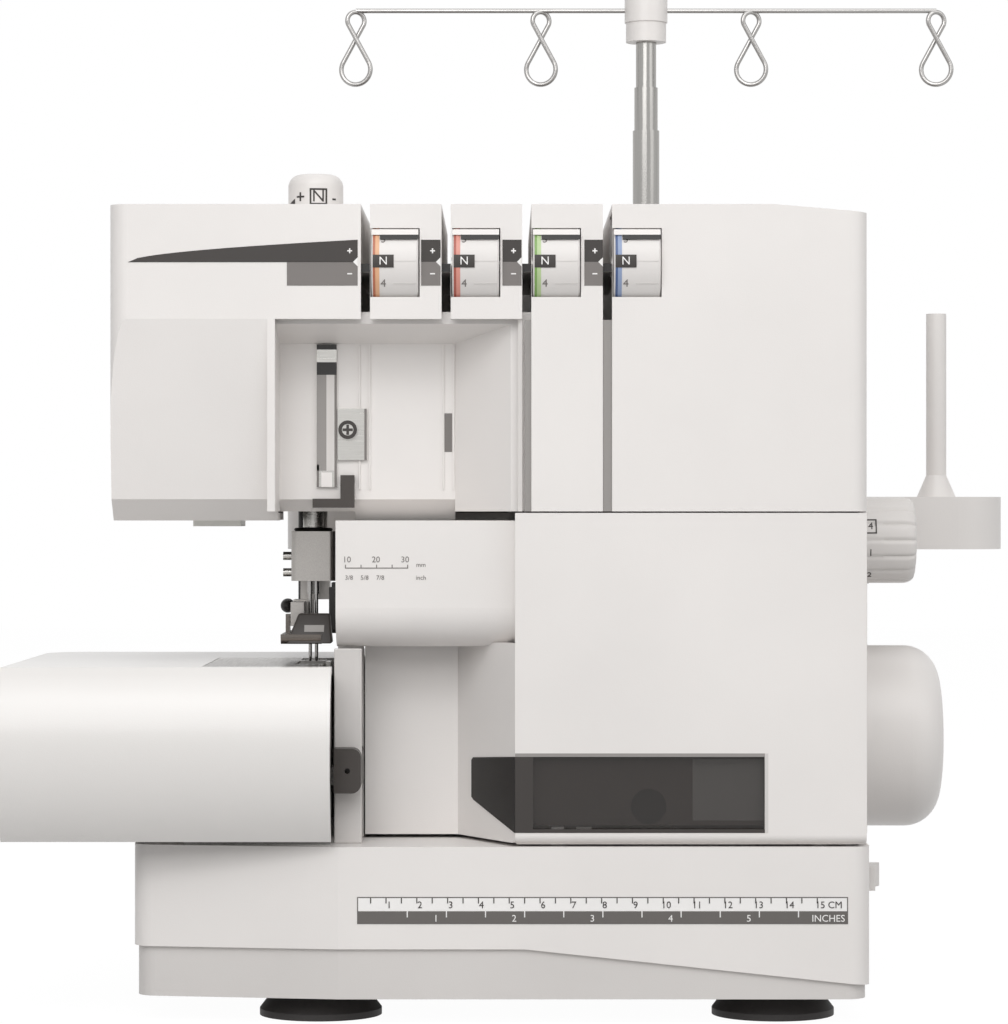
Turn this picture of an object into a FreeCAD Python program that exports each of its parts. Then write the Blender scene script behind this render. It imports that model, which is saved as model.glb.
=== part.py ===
import FreeCAD, Part
import math
import os

import Sketcher

# An overlock sewing machine: casing, drive, needle and presser bars, loopers, feed, knives and thread path.
# Millimetres, +Z up, +X to the handwheel, +Y to the back. The origin is on the table under the middle.

doc = FreeCAD.newDocument("overlock_machine")
sheet = doc.addObject("Spreadsheet::Sheet", "sizes")
nodes = []
past = 1  # how far a cutting shape runs past the face that it opens


class Length:
    """A length that carries its number and the sheet formula that gives it."""

    def __init__(self, number, formula):
        self.number = number
        self.formula = formula

    def __add__(self, other):
        other = as_length(other)
        return Length(self.number + other.number, f"({self.formula} + {other.formula})")

    def __radd__(self, other):
        return as_length(other) + self

    def __sub__(self, other):
        other = as_length(other)
        return Length(self.number - other.number, f"({self.formula} - {other.formula})")

    def __rsub__(self, other):
        return as_length(other) - self

    def __mul__(self, factor):
        return Length(self.number * factor, f"({self.formula} * {factor})")

    def __rmul__(self, factor):
        return self * factor

    def __truediv__(self, divisor):
        return Length(self.number / divisor, f"({self.formula} / {divisor})")

    def __neg__(self):
        return Length(-self.number, f"(0 - {self.formula})")


def as_length(value):
    if isinstance(value, Length):
        return value
    return Length(value, f"({value})")


def size(alias, number):
    row = len(sheet.getUsedCells()) + 1
    sheet.set(f"A{row}", str(number))
    sheet.setAlias(f"A{row}", alias)
    return Length(number, f"sizes.{alias}")


def bind(thing, prop, length):
    thing.setExpression(prop, as_length(length).formula)


turns = {
    "X": FreeCAD.Rotation(FreeCAD.Vector(0, 1, 0), 90),
    "Y": FreeCAD.Rotation(FreeCAD.Vector(1, 0, 0), -90),
    "Z": FreeCAD.Rotation(),
}
planes = {
    "XZ": (FreeCAD.Rotation(FreeCAD.Vector(1, 0, 0), 90), FreeCAD.Vector(0, 1, 0), "y"),
    "YZ": (FreeCAD.Rotation(FreeCAD.Vector(1, 1, 1), 120), FreeCAD.Vector(1, 0, 0), "x"),
    "XY": (FreeCAD.Rotation(), FreeCAD.Vector(0, 0, 1), "z"),
}


def place(thing, x, y, z):
    for axis, value in zip("xyz", (x, y, z)):
        bind(thing, f"Placement.Base.{axis}", value)


def block(x, y, z, dx, dy, dz):
    piece = doc.addObject("Part::Box", "block")
    for prop, value in zip(("Length", "Width", "Height"), (dx, dy, dz)):
        bind(piece, prop, value)
    place(piece, x, y, z)
    return piece


def between(x0, x1, y0, y1, z0, z1):
    x0, y0, z0 = as_length(x0), as_length(y0), as_length(z0)
    return block(x0, y0, z0, x1 - x0, y1 - y0, z1 - z0)


def rod(axis, x, y, z, radius, length):
    piece = doc.addObject("Part::Cylinder", "rod")
    bind(piece, "Radius", radius)
    bind(piece, "Height", length)
    piece.Placement.Rotation = turns[axis]
    place(piece, x, y, z)
    return piece


def taper(axis, x, y, z, first_radius, last_radius, length):
    piece = doc.addObject("Part::Cone", "taper")
    bind(piece, "Radius1", first_radius)
    bind(piece, "Radius2", last_radius)
    bind(piece, "Height", length)
    piece.Placement.Rotation = turns[axis]
    place(piece, x, y, z)
    return piece


def ball(x, y, z, radius):
    piece = doc.addObject("Part::Sphere", "ball")
    bind(piece, "Radius", radius)
    place(piece, x, y, z)
    return piece


def arc_through(start, end, radius, side):
    # side is +1 where the arc bulges to the right of the way from start to end, seen with x to the right.
    across = end - start
    right = FreeCAD.Vector(across.y, -across.x, 0).normalize() * side
    half = across.Length / 2
    rise = radius - math.sqrt(radius**2 - half**2)
    middle = start + across / 2 + right * rise
    if side < 0:
        return Part.Arc(end, middle, start)
    return Part.Arc(start, middle, end)


def prism(plane, outline, start, length):
    # An outline point is (u, v), or (u, v, radius, side) where an arc leads from it to the next point.
    rotation, direction, start_axis = planes[plane]
    sketch = doc.addObject("Sketcher::SketchObject", "outline")
    corners = [FreeCAD.Vector(as_length(p[0]).number, as_length(p[1]).number, 0) for p in outline]
    for index, point in enumerate(outline):
        first = corners[index]
        last = corners[(index + 1) % len(corners)]
        if len(point) == 4:
            curve = arc_through(first, last, as_length(point[2]).number, point[3])
        else:
            curve = Part.LineSegment(first, last)
        sketch.addGeometry(curve, False)
    ends = [curve_ends(sketch, index, corner) for index, corner in enumerate(corners)]
    for index in range(len(outline)):
        following = (index + 1) % len(outline)
        joint = Sketcher.Constraint("Coincident", index, ends[index][1], following, ends[following][0])
        sketch.addConstraint(joint)
    for index, point in enumerate(outline):
        for kind, value in (("DistanceX", point[0]), ("DistanceY", point[1])):
            fixed = Sketcher.Constraint(kind, -1, 1, index, ends[index][0], as_length(value).number)
            number = sketch.addConstraint(fixed)
            bind(sketch, f"Constraints[{number}]", value)
        if len(point) == 4:
            bend = Sketcher.Constraint("Radius", index, as_length(point[2]).number)
            number = sketch.addConstraint(bend)
            bind(sketch, f"Constraints[{number}]", point[2])
    sketch.Placement.Rotation = rotation
    bind(sketch, f"Placement.Base.{start_axis}", start)
    solid = doc.addObject("Part::Extrusion", "prism")
    solid.Base = sketch
    solid.DirMode = "Custom"
    solid.Dir = direction
    solid.Solid = True
    bind(solid, "LengthFwd", length)
    return solid


def curve_ends(sketch, index, corner):
    # The sketch keeps arcs counter-clockwise, so an arc may start at the outline's next corner.
    start = sketch.Geometry[index].StartPoint
    if start.distanceToPoint(corner) < 1e-6:
        return 1, 2
    return 2, 1


def join(*pieces):
    fused = doc.addObject("Part::MultiFuse", "joined")
    fused.Shapes = list(pieces)
    fused.Refine = True
    return fused


def cut(base, *tools):
    remains = doc.addObject("Part::Cut", "cut")
    remains.Base = base
    remains.Tool = tools[0] if len(tools) == 1 else join(*tools)
    remains.Refine = True
    return remains


def shared(first, second):
    common = doc.addObject("Part::Common", "shared")
    common.Base = first
    common.Tool = second
    common.Refine = True
    return common


def group(*pieces):
    together = doc.addObject("Part::Compound", "group")
    together.Links = list(pieces)
    return together


def lies_along(edge, axis):
    if edge.Curve.TypeId != "Part::GeomLine":
        return False
    return abs(abs(getattr(edge.Curve.Direction, axis.lower())) - 1) < 1e-6


def at(edge, axis, places):
    middle = getattr(edge.BoundBox.Center, axis)
    return any(abs(middle - as_length(value).number) < 0.01 for value in places)


def rounded(base, radius, along, **places):
    # Rounds the straight edges that run along an axis and lie at the given places.
    base.recompute(True)
    chosen = []
    for index, edge in enumerate(base.Shape.Edges, start=1):
        if lies_along(edge, along) and all(at(edge, axis, values) for axis, values in places.items()):
            chosen.append((index, radius.number, radius.number))
    fillet = doc.addObject("Part::Fillet", "rounded")
    fillet.Base = base
    fillet.Edges = chosen
    return fillet


def node(name, piece):
    piece.Label = name
    nodes.append(piece)
    return piece


# Shared sizes
wall = size("shell_wall", 2.5)
moving_gap = size("moving_gap", 0.4)
running_gap = size("running_gap", 0.15)
front = size("front_plane_y", -113.0)
foot_height = size("foot_height", 8.4)

# Base
base_left = size("base_left_x", -132.9)
base_width = size("base_width", 240.6)
base_depth = size("base_depth", 190.0)
base_top = size("base_top_z", 58.0)
base_corner = size("base_corner_radius", 7.0)
crease_x = size("crease_x", -65.5)
crease_setback = size("crease_setback", 10.0)
seam_left = size("seam_left_z", 24.8)
seam_right = size("seam_right_z", 12.6)
seam_break = size("seam_break_x", -5.0)
pan_inset = size("pan_inset", 1.2)
base_right = base_left + base_width
base_back = front + base_depth
pan_floor = foot_height + wall


def base_plan(inset):
    return [
        (base_left + inset, front + crease_setback + inset),
        (crease_x, front + inset),
        (base_right - inset, front + inset),
        (base_right - inset, base_back - inset),
        (base_left + inset, base_back - inset),
    ]


def base_tower(inset, bottom, top):
    tower = prism("XY", base_plan(as_length(inset)), bottom, top - bottom)
    corners = [point[0] for point in base_plan(as_length(inset)) if point[0] is not crease_x]
    return rounded(tower, base_corner, "Z", x=corners)


below_seam = prism(
    "XZ",
    [
        (base_left - wall, 0),
        (base_right + wall, 0),
        (base_right + wall, seam_right),
        (seam_break, seam_left),
        (base_left - wall, seam_left),
    ],
    front - wall,
    base_depth + 2 * wall,
)

# Opening in the deck for the frame, the motor and the belt
deck_hole_left = size("deck_hole_left_x", 4.0)
deck_hole_front = size("deck_hole_front_y", -66.0)
deck_hole_back = size("deck_hole_back_y", 46.0)

pan_outer = shared(base_tower(pan_inset, foot_height, base_top), below_seam)
pan_inner = base_tower(pan_inset + wall, pan_floor, base_top)
node("base_pan", cut(pan_outer, pan_inner))

# The mains inlet and the power switch sit in the right wall of the base.
switch_y = size("switch_y", -88.0)
switch_z = size("switch_z", 46.0)
switch_length = size("switch_length", 20.0)
switch_height = size("switch_height", 9.0)
inlet_y = size("inlet_y", -52.0)
inlet_z = size("inlet_z", 36.0)
inlet_length = size("inlet_length", 26.0)
inlet_height = size("inlet_height", 18.0)
housing_outer = cut(base_tower(0, foot_height, base_top), below_seam)
housing_inner = base_tower(wall, 0, base_top - wall)
deck_hole_right = base_right - 2 * wall
deck_hole = between(deck_hole_left, deck_hole_right, deck_hole_front, deck_hole_back, 0, base_top + wall)
switch_hole = block(
    base_right - 2 * wall,
    switch_y - switch_length / 2,
    switch_z - switch_height / 2,
    3 * wall,
    switch_length,
    switch_height,
)
inlet_hole = block(
    base_right - 2 * wall,
    inlet_y - inlet_length / 2,
    inlet_z - inlet_height / 2,
    3 * wall,
    inlet_length,
    inlet_height,
)
housing = cut(housing_outer, housing_inner, deck_hole, switch_hole, inlet_hole)

# Rubber feet: suction cups that widen to the table
foot_radius = size("foot_radius", 20.3)
foot_top_radius = size("foot_top_radius", 15.5)
foot_left = size("foot_left_x", -72.4)
foot_right_inset = size("foot_right_inset", 29.8)
foot_right = base_right - foot_right_inset
foot_front = size("foot_front_y", -83.0)
foot_back = size("foot_back_y", 47.0)
foot_rim = size("foot_rim", 2.2)
cups = []
for foot_x in (foot_left, foot_right):
    for foot_y in (foot_front, foot_back):
        rim = rod("Z", foot_x, foot_y, 0, foot_radius, foot_rim)
        neck = taper("Z", foot_x, foot_y, foot_rim, foot_radius, foot_top_radius, foot_height - foot_rim)
        cups.append(join(rim, neck))
node("rubber_feet", group(*cups))

# Power switch: a rocker that tips about its middle, in the hole of the right wall
rocker_gap = size("rocker_gap", 0.6)
rocker_end_gap = size("rocker_end_gap", 1.6)
rocker_proud = size("rocker_proud", 3.0)
rocker_tilt = size("rocker_tilt", 3.0)
rocker_half = switch_length / 2 - rocker_end_gap
rocker_low = switch_z - switch_height / 2 + rocker_gap
rocker = prism(
    "XY",
    [
        (base_right - 2 * wall, switch_y - rocker_half),
        (base_right + rocker_proud, switch_y - rocker_half),
        (base_right + rocker_proud - rocker_tilt / 2, switch_y),
        (base_right + rocker_proud + rocker_tilt, switch_y + rocker_half),
        (base_right - 2 * wall, switch_y + rocker_half),
    ],
    rocker_low,
    switch_height - 2 * rocker_gap,
)
rocker_pin = size("rocker_pin_radius", 0.8)
rocker_pin_proud = size("rocker_pin_proud", 0.4)
pivot = rod(
    "Z",
    base_right - wall / 2,
    switch_y,
    rocker_low - rocker_pin_proud,
    rocker_pin,
    switch_height - 2 * rocker_gap + 2 * rocker_pin_proud,
)
node("power_switch", join(rocker, pivot))

# Mains inlet: an open socket with three blades
inlet_wall = size("inlet_wall", 2.0)
inlet_depth = size("inlet_depth", 15.0)
blade_gap = size("inlet_blade_spacing", 7.0)
blade_length = size("inlet_blade_length", 11.0)
blade_thickness = size("inlet_blade_thickness", 1.5)
inlet_body = block(
    base_right - inlet_depth,
    inlet_y - inlet_length / 2,
    inlet_z - inlet_height / 2,
    inlet_depth,
    inlet_length,
    inlet_height,
)
inlet_cavity = block(
    base_right - inlet_depth + inlet_wall,
    inlet_y - inlet_length / 2 + inlet_wall,
    inlet_z - inlet_height / 2 + inlet_wall,
    inlet_depth,
    inlet_length - 2 * inlet_wall,
    inlet_height - 2 * inlet_wall,
)
blades = []
for step in (-1, 0, 1):
    blades.append(
        block(
            base_right - inlet_depth,
            inlet_y + step * blade_gap - blade_thickness / 2,
            inlet_z - inlet_wall,
            blade_length,
            blade_thickness,
            2 * inlet_wall,
        )
    )
node("power_inlet", join(cut(inlet_body, inlet_cavity), *blades))

# Arm, head and column
top = size("top_z", 266.8)
body_inset = size("body_inset", 0.9)
body_bottom = size("body_bottom_z", 167.0)
body_back = size("body_back_y", 50.0)
head_left = size("head_left_x", -139.9)
head_bottom = size("head_bottom_z", 164.0)
head_right = size("head_right_x", -85.9)
head_back = size("head_back_y", 20.0)
head_break = size("head_break_z", 229.5)
head_lean = size("head_lean", 9.0)
head_hem = size("head_hem", 7.0)
head_corner = size("head_corner_radius", 6.0)
cover_split = size("cover_split_y", -30.0)
body_right = base_right - body_inset
column_left = size("column_left_x", -10.0)
top_fall = size("top_fall", 2.6)
top_fall_width = size("top_fall_width", 30.8)
top_fall_start = body_right - top_fall_width

# Threading recess
recess_right = size("recess_right_x", -4.7)
recess_right_back = size("recess_right_back_x", -27.7)
recess_depth = size("recess_depth", 25.0)
recess_fall = size("recess_ceiling_fall", 7.0)
recess_back = front + recess_depth

# Tension dials and the thread slots to their left
dial_radius = size("tension_dial_radius", 16.0)
dial_width = size("tension_dial_width", 15.2)
dial_proud = size("tension_dial_proud", 4.0)
dial_z = size("tension_dial_z", 247.8)
dial_pitch = size("tension_dial_pitch", 26.2)
dial_first = size("tension_dial_first_x", -46.9)
slot_width = size("thread_slot_width", 3.0)
slot_before_dial = size("thread_slot_before_dial", 9.6)
slot_open_z = size("thread_slot_open_z", 247.5)
slot_spare = size("thread_slot_spare", 0.5)
spindle_radius = size("tension_spindle_radius", 2.5)
dial_y = front - dial_proud + dial_radius
dial_count = 4
dial_places = [dial_first + step * dial_pitch for step in range(dial_count)]
slot_places = [place_x - slot_before_dial for place_x in dial_places]
slot_bottoms = (head_break, head_break, body_bottom, body_bottom)


def head_profile(inset):
    # Side view of the head: an upright band over a face that leans back, with a chamfered hem.
    return [
        (front + inset, top - inset),
        (front + inset, head_break),
        (front + head_lean + inset, head_bottom + head_hem),
        (front + head_lean + head_hem + inset, head_bottom + inset),
        (cover_split, head_bottom + inset),
        (cover_split, top - inset),
    ]


def front_shell(inset):
    inset = as_length(inset)
    head = prism("YZ", head_profile(inset), head_left + inset, head_right - head_left)
    over = prism(
        "XZ",
        [
            (head_right - wall, body_bottom),
            (body_right - inset, body_bottom),
            (body_right - inset, top - top_fall - inset),
            (top_fall_start, top - inset),
            (head_right - wall, top - inset),
        ],
        front + inset,
        cover_split - front - inset,
    )
    return head, over


head_outer, over_outer = front_shell(0)
head_inner, over_inner = front_shell(wall)
shell_outer = rounded(
    rounded(join(head_outer, over_outer), head_corner, "Z", x=[head_left], y=[front]),
    head_corner,
    "Z",
    x=[body_right],
    y=[front],
)
shell_hollow = cut(shell_outer, join(head_inner, over_inner))
recess_shape = [
    (head_right, front - wall),
    (recess_right, front - wall),
    (recess_right, front),
    (recess_right_back, recess_back),
    (head_right, recess_back),
]
recess_walls = [
    (head_right - wall, front + 2 * wall),
    (recess_right + wall, front + 2 * wall),
    (recess_right_back + wall, recess_back + wall),
    (head_right - wall, recess_back + wall),
]
recess_lining = shared(
    prism("XY", recess_walls, body_bottom, head_break + wall - body_bottom),
    join(head_inner, over_inner),
)
recess_space = prism("XY", recess_shape, head_bottom - wall, head_break - head_bottom + wall)
recess_ceiling = prism(
    "YZ",
    [
        (front, head_break),
        (recess_back, head_break - recess_fall),
        (recess_back + wall, head_break - recess_fall),
        (recess_back + wall, head_break + wall),
        (front, head_break + wall),
    ],
    head_right,
    recess_right - head_right,
)
recess_ceiling_fit = shared(recess_ceiling, prism("XY", recess_walls, body_bottom, top - body_bottom))
recess_hem_top = head_bottom + head_hem
recess_hem_back = recess_back + head_hem
recess_hem = prism(
    "YZ",
    [
        (recess_back, recess_hem_top),
        (recess_hem_back, head_bottom),
        (recess_hem_back + wall, head_bottom),
        (recess_back + wall, recess_hem_top),
    ],
    head_right - wall,
    recess_right_back + wall - head_right,
)
recess_below_hem = prism(
    "YZ",
    [
        (recess_back - past, recess_hem_top),
        (recess_back, recess_hem_top),
        (recess_hem_back, head_bottom),
        (recess_back - past, head_bottom),
    ],
    head_right,
    recess_right_back - head_right,
)
recess_lined = cut(join(shell_hollow, recess_lining), recess_space, recess_below_hem)
lined_shell = join(recess_lined, recess_ceiling_fit, recess_hem)

# The bars come out of the head through an opening in its floor, behind the recess.
needle_x = size("needle_x", -76.0)
needle_y = size("needle_y", -62.0)
bar_hole_width = size("bar_hole_width", 30.0)
bar_hole_front = size("bar_hole_front_y", -84.0)
lifter_x = size("lifter_x", -84.0)
lifter_z = size("lifter_z", 182.0)
lifter_pin = size("lifter_pin_radius", 3.0)
presser_y = size("presser_bar_y", -46.0)
pressure_stem = size("pressure_stem_radius", 4.0)
slot_ribs = []
slot_cuts = []
dial_back = dial_y + dial_radius + 2 * moving_gap
for slot_x, slot_bottom in zip(slot_places, slot_bottoms):
    slot_left = slot_x - slot_width / 2
    slot_right = slot_left + slot_width
    slot_ribs.append(
        between(slot_left - wall, slot_right, front + wall, cover_split, slot_open_z - wall, top - wall)
    )
    slot_ribs.append(
        between(slot_left, slot_right + wall, dial_back, cover_split, slot_open_z - wall, top - wall)
    )
    slot_cuts.append(between(slot_left, slot_right, front - past, body_back + past, slot_open_z, top + past))
    slot_cuts.append(
        between(
            slot_left,
            slot_right,
            front - past,
            front + wall + past,
            slot_bottom - slot_spare,
            slot_open_z + past,
        )
    )
dial_windows = []
for dial_x in dial_places:
    dial_windows.append(
        rod(
            "X",
            dial_x - dial_width / 2 - moving_gap,
            dial_y,
            dial_z,
            dial_radius + moving_gap,
            dial_width + 2 * moving_gap,
        )
    )
bar_hole = between(
    needle_x - bar_hole_width / 2,
    needle_x + bar_hole_width / 2,
    bar_hole_front,
    cover_split + past,
    head_bottom - past,
    body_bottom + 2 * wall,
)
pressure_hole = rod("Z", needle_x, presser_y, top - 2 * wall, pressure_stem + moving_gap, 3 * wall)
front_cover = cut(join(lined_shell, *slot_ribs), *slot_cuts, *dial_windows, bar_hole, pressure_hole)
node("front_cover", front_cover)

# Rear cover: one shell behind the head and the arm, with the same thread slots
rear_plan = [
    (head_left, cover_split),
    (body_right, cover_split),
    (body_right, body_back),
    (column_left, body_back),
    (column_left, head_back),
    (head_left, head_back),
]
rear_plan_inside = [
    (head_left + wall, cover_split - past),
    (body_right - wall, cover_split - past),
    (body_right - wall, body_back - wall),
    (column_left + wall, body_back - wall),
    (column_left + wall, head_back - wall),
    (head_left + wall, head_back - wall),
]
rear_outer = prism("XY", rear_plan, head_bottom, top - head_bottom)
rear_round = rounded(rear_outer, head_corner, "Z", x=[head_left, body_right], y=[head_back, body_back])
rear_inner = prism("XY", rear_plan_inside, head_bottom + wall, top - head_bottom - 2 * wall)
rear_above_column = between(column_left, base_right, cover_split - past, base_back, 0, body_bottom + wall)
rear_slope = prism(
    "XZ",
    [(top_fall_start, top), (body_right + past, top - top_fall), (body_right + past, top + past)],
    cover_split - past,
    base_depth,
)
rear_ribs = []
for slot_x in slot_places:
    rib_left = slot_x - slot_width / 2 - wall
    rib_right = rib_left + slot_width + 2 * wall
    rear_ribs.append(
        between(rib_left, rib_right, cover_split, head_back - wall / 2, slot_open_z - wall, top - wall)
    )
lifter_hole = rod("Y", lifter_x, head_back - 2 * wall, lifter_z, lifter_pin + running_gap, 3 * wall)
bar_hole_back = block(
    needle_x - bar_hole_width / 2,
    cover_split - past,
    head_bottom - past,
    bar_hole_width,
    2 * bar_hole_width,
    2 * wall,
)
rear_shell = join(cut(rear_round, rear_inner), *rear_ribs)
node("rear_cover", cut(rear_shell, rear_above_column, rear_slope, *slot_cuts, lifter_hole, bar_hole_back))

# Column cover: right side and back below the arm, with a side panel behind the sewing space
shaft_y = size("main_shaft_y", -3.0)
shaft_z = size("main_shaft_z", 87.7)
shaft_radius = size("main_shaft_radius", 6.0)
column_front = size("column_front_y", -109.0)
column_panel_front = size("column_panel_front_y", -40.0)
column_panel_bottom = size("column_panel_bottom_z", 116.0)
column_plan = [
    (body_right, column_front),
    (body_right, body_back),
    (column_left, body_back),
    (column_left, column_panel_front),
    (column_left + wall, column_panel_front),
    (column_left + wall, body_back - wall),
    (body_right - wall, body_back - wall),
    (body_right - wall, column_front),
]
stitch_y = size("stitch_dial_y", -23.0)
stitch_z = size("stitch_dial_z", 157.0)
feed_dial_y = size("feed_dial_y", 22.0)
dial_stem = size("side_dial_stem_radius", 4.0)
column_tall = prism("XY", column_plan, base_top, body_bottom - base_top)
column_round = rounded(column_tall, head_corner, "Z", x=[body_right], y=[body_back])
column_low = between(
    column_left - past,
    column_left + wall,
    column_panel_front - past,
    body_back - wall,
    0,
    column_panel_bottom,
)
shaft_hole = rod("X", body_right - 2 * wall, shaft_y, shaft_z, shaft_radius + 2 * moving_gap, 3 * wall)
side_holes = []
for side_y in (stitch_y, feed_dial_y):
    side_holes.append(rod("X", body_right - 2 * wall, side_y, stitch_z, dial_stem + moving_gap, 3 * wall))
# The bottom edge of the looper cover swings into this corner when it opens.
swing_depth = size("swing_notch_depth", 2.6)
swing_height = size("swing_notch_height", 4.2)
swing_notch = between(
    body_right - 2 * wall,
    body_right + past,
    column_front - past,
    column_front + swing_depth,
    base_top - past,
    base_top + swing_height,
)
node("column_cover", cut(column_round, column_low, shaft_hole, swing_notch, *side_holes))

# Looper cover: front slab, slanted side, chute wall and the cloth guide arm over the chute
cover_left = size("cover_left_x", -7.9)
cover_gap = size("cover_gap", 1.2)
cover_seam = size("cover_seam", 0.5)
cover_wall = size("cover_wall", 3.0)
cover_edge = size("cover_edge_radius", 2.6)
chute_back = size("chute_back_y", -78.0)
chute_left = size("chute_left_x", -57.9)
chute_right = size("chute_right_x", -26.9)
chute_top = size("chute_top_z", 124.0)
guide_left = size("guide_arm_left_x", -66.5)
guide_front = size("guide_arm_front_y", -106.5)
guide_back = size("guide_arm_back_y", -85.0)
guide_bottom = size("guide_arm_bottom_z", 122.5)
guide_top = size("guide_arm_top_z", 164.0)
guide_edge = size("guide_arm_edge_radius", 13.0)
cover_bottom = base_top + cover_gap
cover_top = body_bottom - cover_seam
cover_right = body_right - cover_seam
hinge_y = size("cover_hinge_y", -109.6)
hinge_z = size("cover_hinge_z", 61.8)
hinge_radius = size("cover_hinge_radius", 1.2)
hinge_clearance = size("cover_hinge_clearance", 0.3)
window_left = size("window_left_x", -2.0)
window_right_inset = size("window_right_inset", 33.1)
window_right = cover_right - window_right_inset
window_bottom = size("window_bottom_z", 63.6)
window_top = size("window_top_z", 87.3)
window_step = size("window_step", 1.4)

slab = between(cover_left, cover_right, front, front + cover_wall, cover_bottom, cover_top)
slab_round = rounded(slab, cover_edge, "X", y=[front], z=[cover_bottom])
slant = prism(
    "XY",
    [
        (cover_left, front),
        (cover_left + cover_wall, front),
        (cover_left + cover_wall, front + cover_wall),
        (chute_right + cover_wall, chute_back + wall),
        (chute_right, chute_back + wall),
        (chute_right, chute_back),
    ],
    cover_bottom,
    chute_top - cover_bottom,
)
chute = between(chute_left, chute_right + cover_wall, chute_back, chute_back + wall, cover_bottom, chute_top)
guide_solid = between(guide_left, cover_left + cover_wall, guide_front, guide_back, guide_bottom, guide_top)
guide_round = rounded(guide_solid, guide_edge, "X", y=[guide_front], z=[guide_bottom])
guide_hollow = between(
    guide_left + wall,
    cover_left,
    guide_front + guide_edge,
    guide_back + wall,
    guide_bottom + wall,
    guide_top - wall,
)
cheek = between(cover_left, cover_left + cover_wall, front + wall, guide_back, chute_top - wall, guide_top)
knuckle_width = size("cover_knuckle_width", 5.0)
knuckle_wall = size("cover_knuckle_wall", 0.6)
knuckle_below = size("cover_knuckle_below", 1.8)
knuckle_above = size("cover_knuckle_above", 2.4)
knuckle_left = size("cover_knuckle_left_x", 12.0)
knuckle_right_inset = size("cover_knuckle_right_inset", 30.3)
knuckle_right = cover_right - knuckle_right_inset
knuckle_back = hinge_y + hinge_radius + hinge_clearance + knuckle_wall
knuckles = []
for knuckle_x in (knuckle_left, knuckle_right):
    knuckles.append(
        between(
            knuckle_x,
            knuckle_x + knuckle_width,
            front + cover_wall,
            knuckle_back,
            hinge_z - knuckle_below,
            hinge_z + knuckle_above,
        )
    )
hinge_hole = hinge_radius + hinge_clearance
hinge_bore = rod("X", cover_left - past, hinge_y, hinge_z, hinge_hole, cover_right - cover_left + 2 * past)
window_hole = between(
    window_left, window_right, front - past, front + cover_wall + past, window_bottom, window_top
)
window_rebate = between(
    window_left - window_step,
    window_right + window_step,
    front + cover_wall - window_step,
    front + cover_wall + past,
    window_bottom - window_step / 2,
    window_top + window_step,
)
heel_left = cover_left - 2 * cover_wall
heel_length = 4 * cover_wall
heel_z = cover_bottom + cover_edge
heel_block = between(
    heel_left, heel_left + heel_length, front - past, front + cover_edge, cover_bottom - past, heel_z
)
heel_round = rod("X", heel_left - past, front + cover_edge, heel_z, cover_edge, heel_length + 2 * past)
slant_heel = cut(heel_block, heel_round)
cover_body = join(slab_round, slant, chute, cut(guide_round, guide_hollow), cheek, *knuckles)
node("looper_cover", cut(cover_body, hinge_bore, window_hole, window_rebate, slant_heel))
pane = between(
    window_left - window_step,
    window_right + window_step,
    front + cover_wall - window_step,
    front + cover_wall,
    window_bottom,
    window_top + window_step,
)
node("looper_cover_window", cut(pane, hinge_bore))

# The hinge rod lies in two clips moulded on the deck and slides to the right to free the cover.
rod_left = size("cover_rod_left_x", -5.0)
rod_right_inset = size("cover_rod_right_inset", 11.3)
rod_length = cover_right - rod_right_inset - rod_left
clip_width = size("cover_clip_width", 4.0)
clip_left = size("cover_clip_left_x", 4.0)
clip_right_inset = size("cover_clip_right_inset", 16.8)
clip_right = cover_right - clip_right_inset
clip_reach = size("cover_clip_reach", 3.2)
clip_rise = size("cover_clip_rise", 2.5)
clip_grip = size("cover_clip_grip", 0.2)
node("cover_hinge_rod", rod("X", rod_left, hinge_y, hinge_z, hinge_radius, rod_length))
clips = []
for clip_x in (clip_left, clip_right):
    clip_top = hinge_z + clip_rise
    post = block(clip_x, hinge_y + clip_reach, base_top, clip_width, clip_reach, clip_top - base_top)
    nose_bottom = hinge_z - clip_grip
    nose = between(
        clip_x, clip_x + clip_width, hinge_y - clip_grip, hinge_y + 2 * clip_reach, nose_bottom, clip_top
    )
    bore = rod("X", clip_x - past, hinge_y, hinge_z, hinge_radius + running_gap, clip_width + 2 * past)
    clips.append(cut(join(post, nose), bore))
node("base_housing", join(housing, *clips))

# Free arm under the cloth plate, with a shelf for the feed dogs
bed_left = size("bed_left_x", -116.0)
bed_right = size("bed_right_x", -68.2)
bed_front = size("bed_front_y", -104.0)
bed_back = size("bed_back_y", 8.0)
bed_wall = size("bed_wall", 3.0)
shelf_z = size("feed_shelf_z", 95.0)
plate_top = size("needle_plate_top_z", 116.5)
plate_left = size("needle_plate_left_x", -109.5)
plate_right = size("needle_plate_right_x", -71.8)
plate_front = size("needle_plate_front_y", -110.0)
plate_back = size("needle_plate_back_y", -38.0)
cloth_wall = size("cloth_plate_wall", 2.5)
slide_gap = size("slide_gap", 0.3)
bed_top = plate_top - cloth_wall - slide_gap
bed_outer = between(bed_left, bed_right, bed_front, bed_back, base_top, bed_top)
bed_inner = between(
    bed_left + bed_wall,
    bed_right + past,
    bed_front + bed_wall,
    bed_back - bed_wall,
    base_top - past,
    bed_top - bed_wall,
)
bed_mouth = between(
    plate_left + bed_wall,
    bed_right + past,
    bed_front + bed_wall,
    plate_back - bed_wall,
    shelf_z + past,
    bed_top + past,
)
shelf = between(bed_left, plate_right, bed_front, bed_back, shelf_z - bed_wall, shelf_z)
node("free_arm", cut(join(cut(bed_outer, bed_inner), shelf), bed_mouth))

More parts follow.
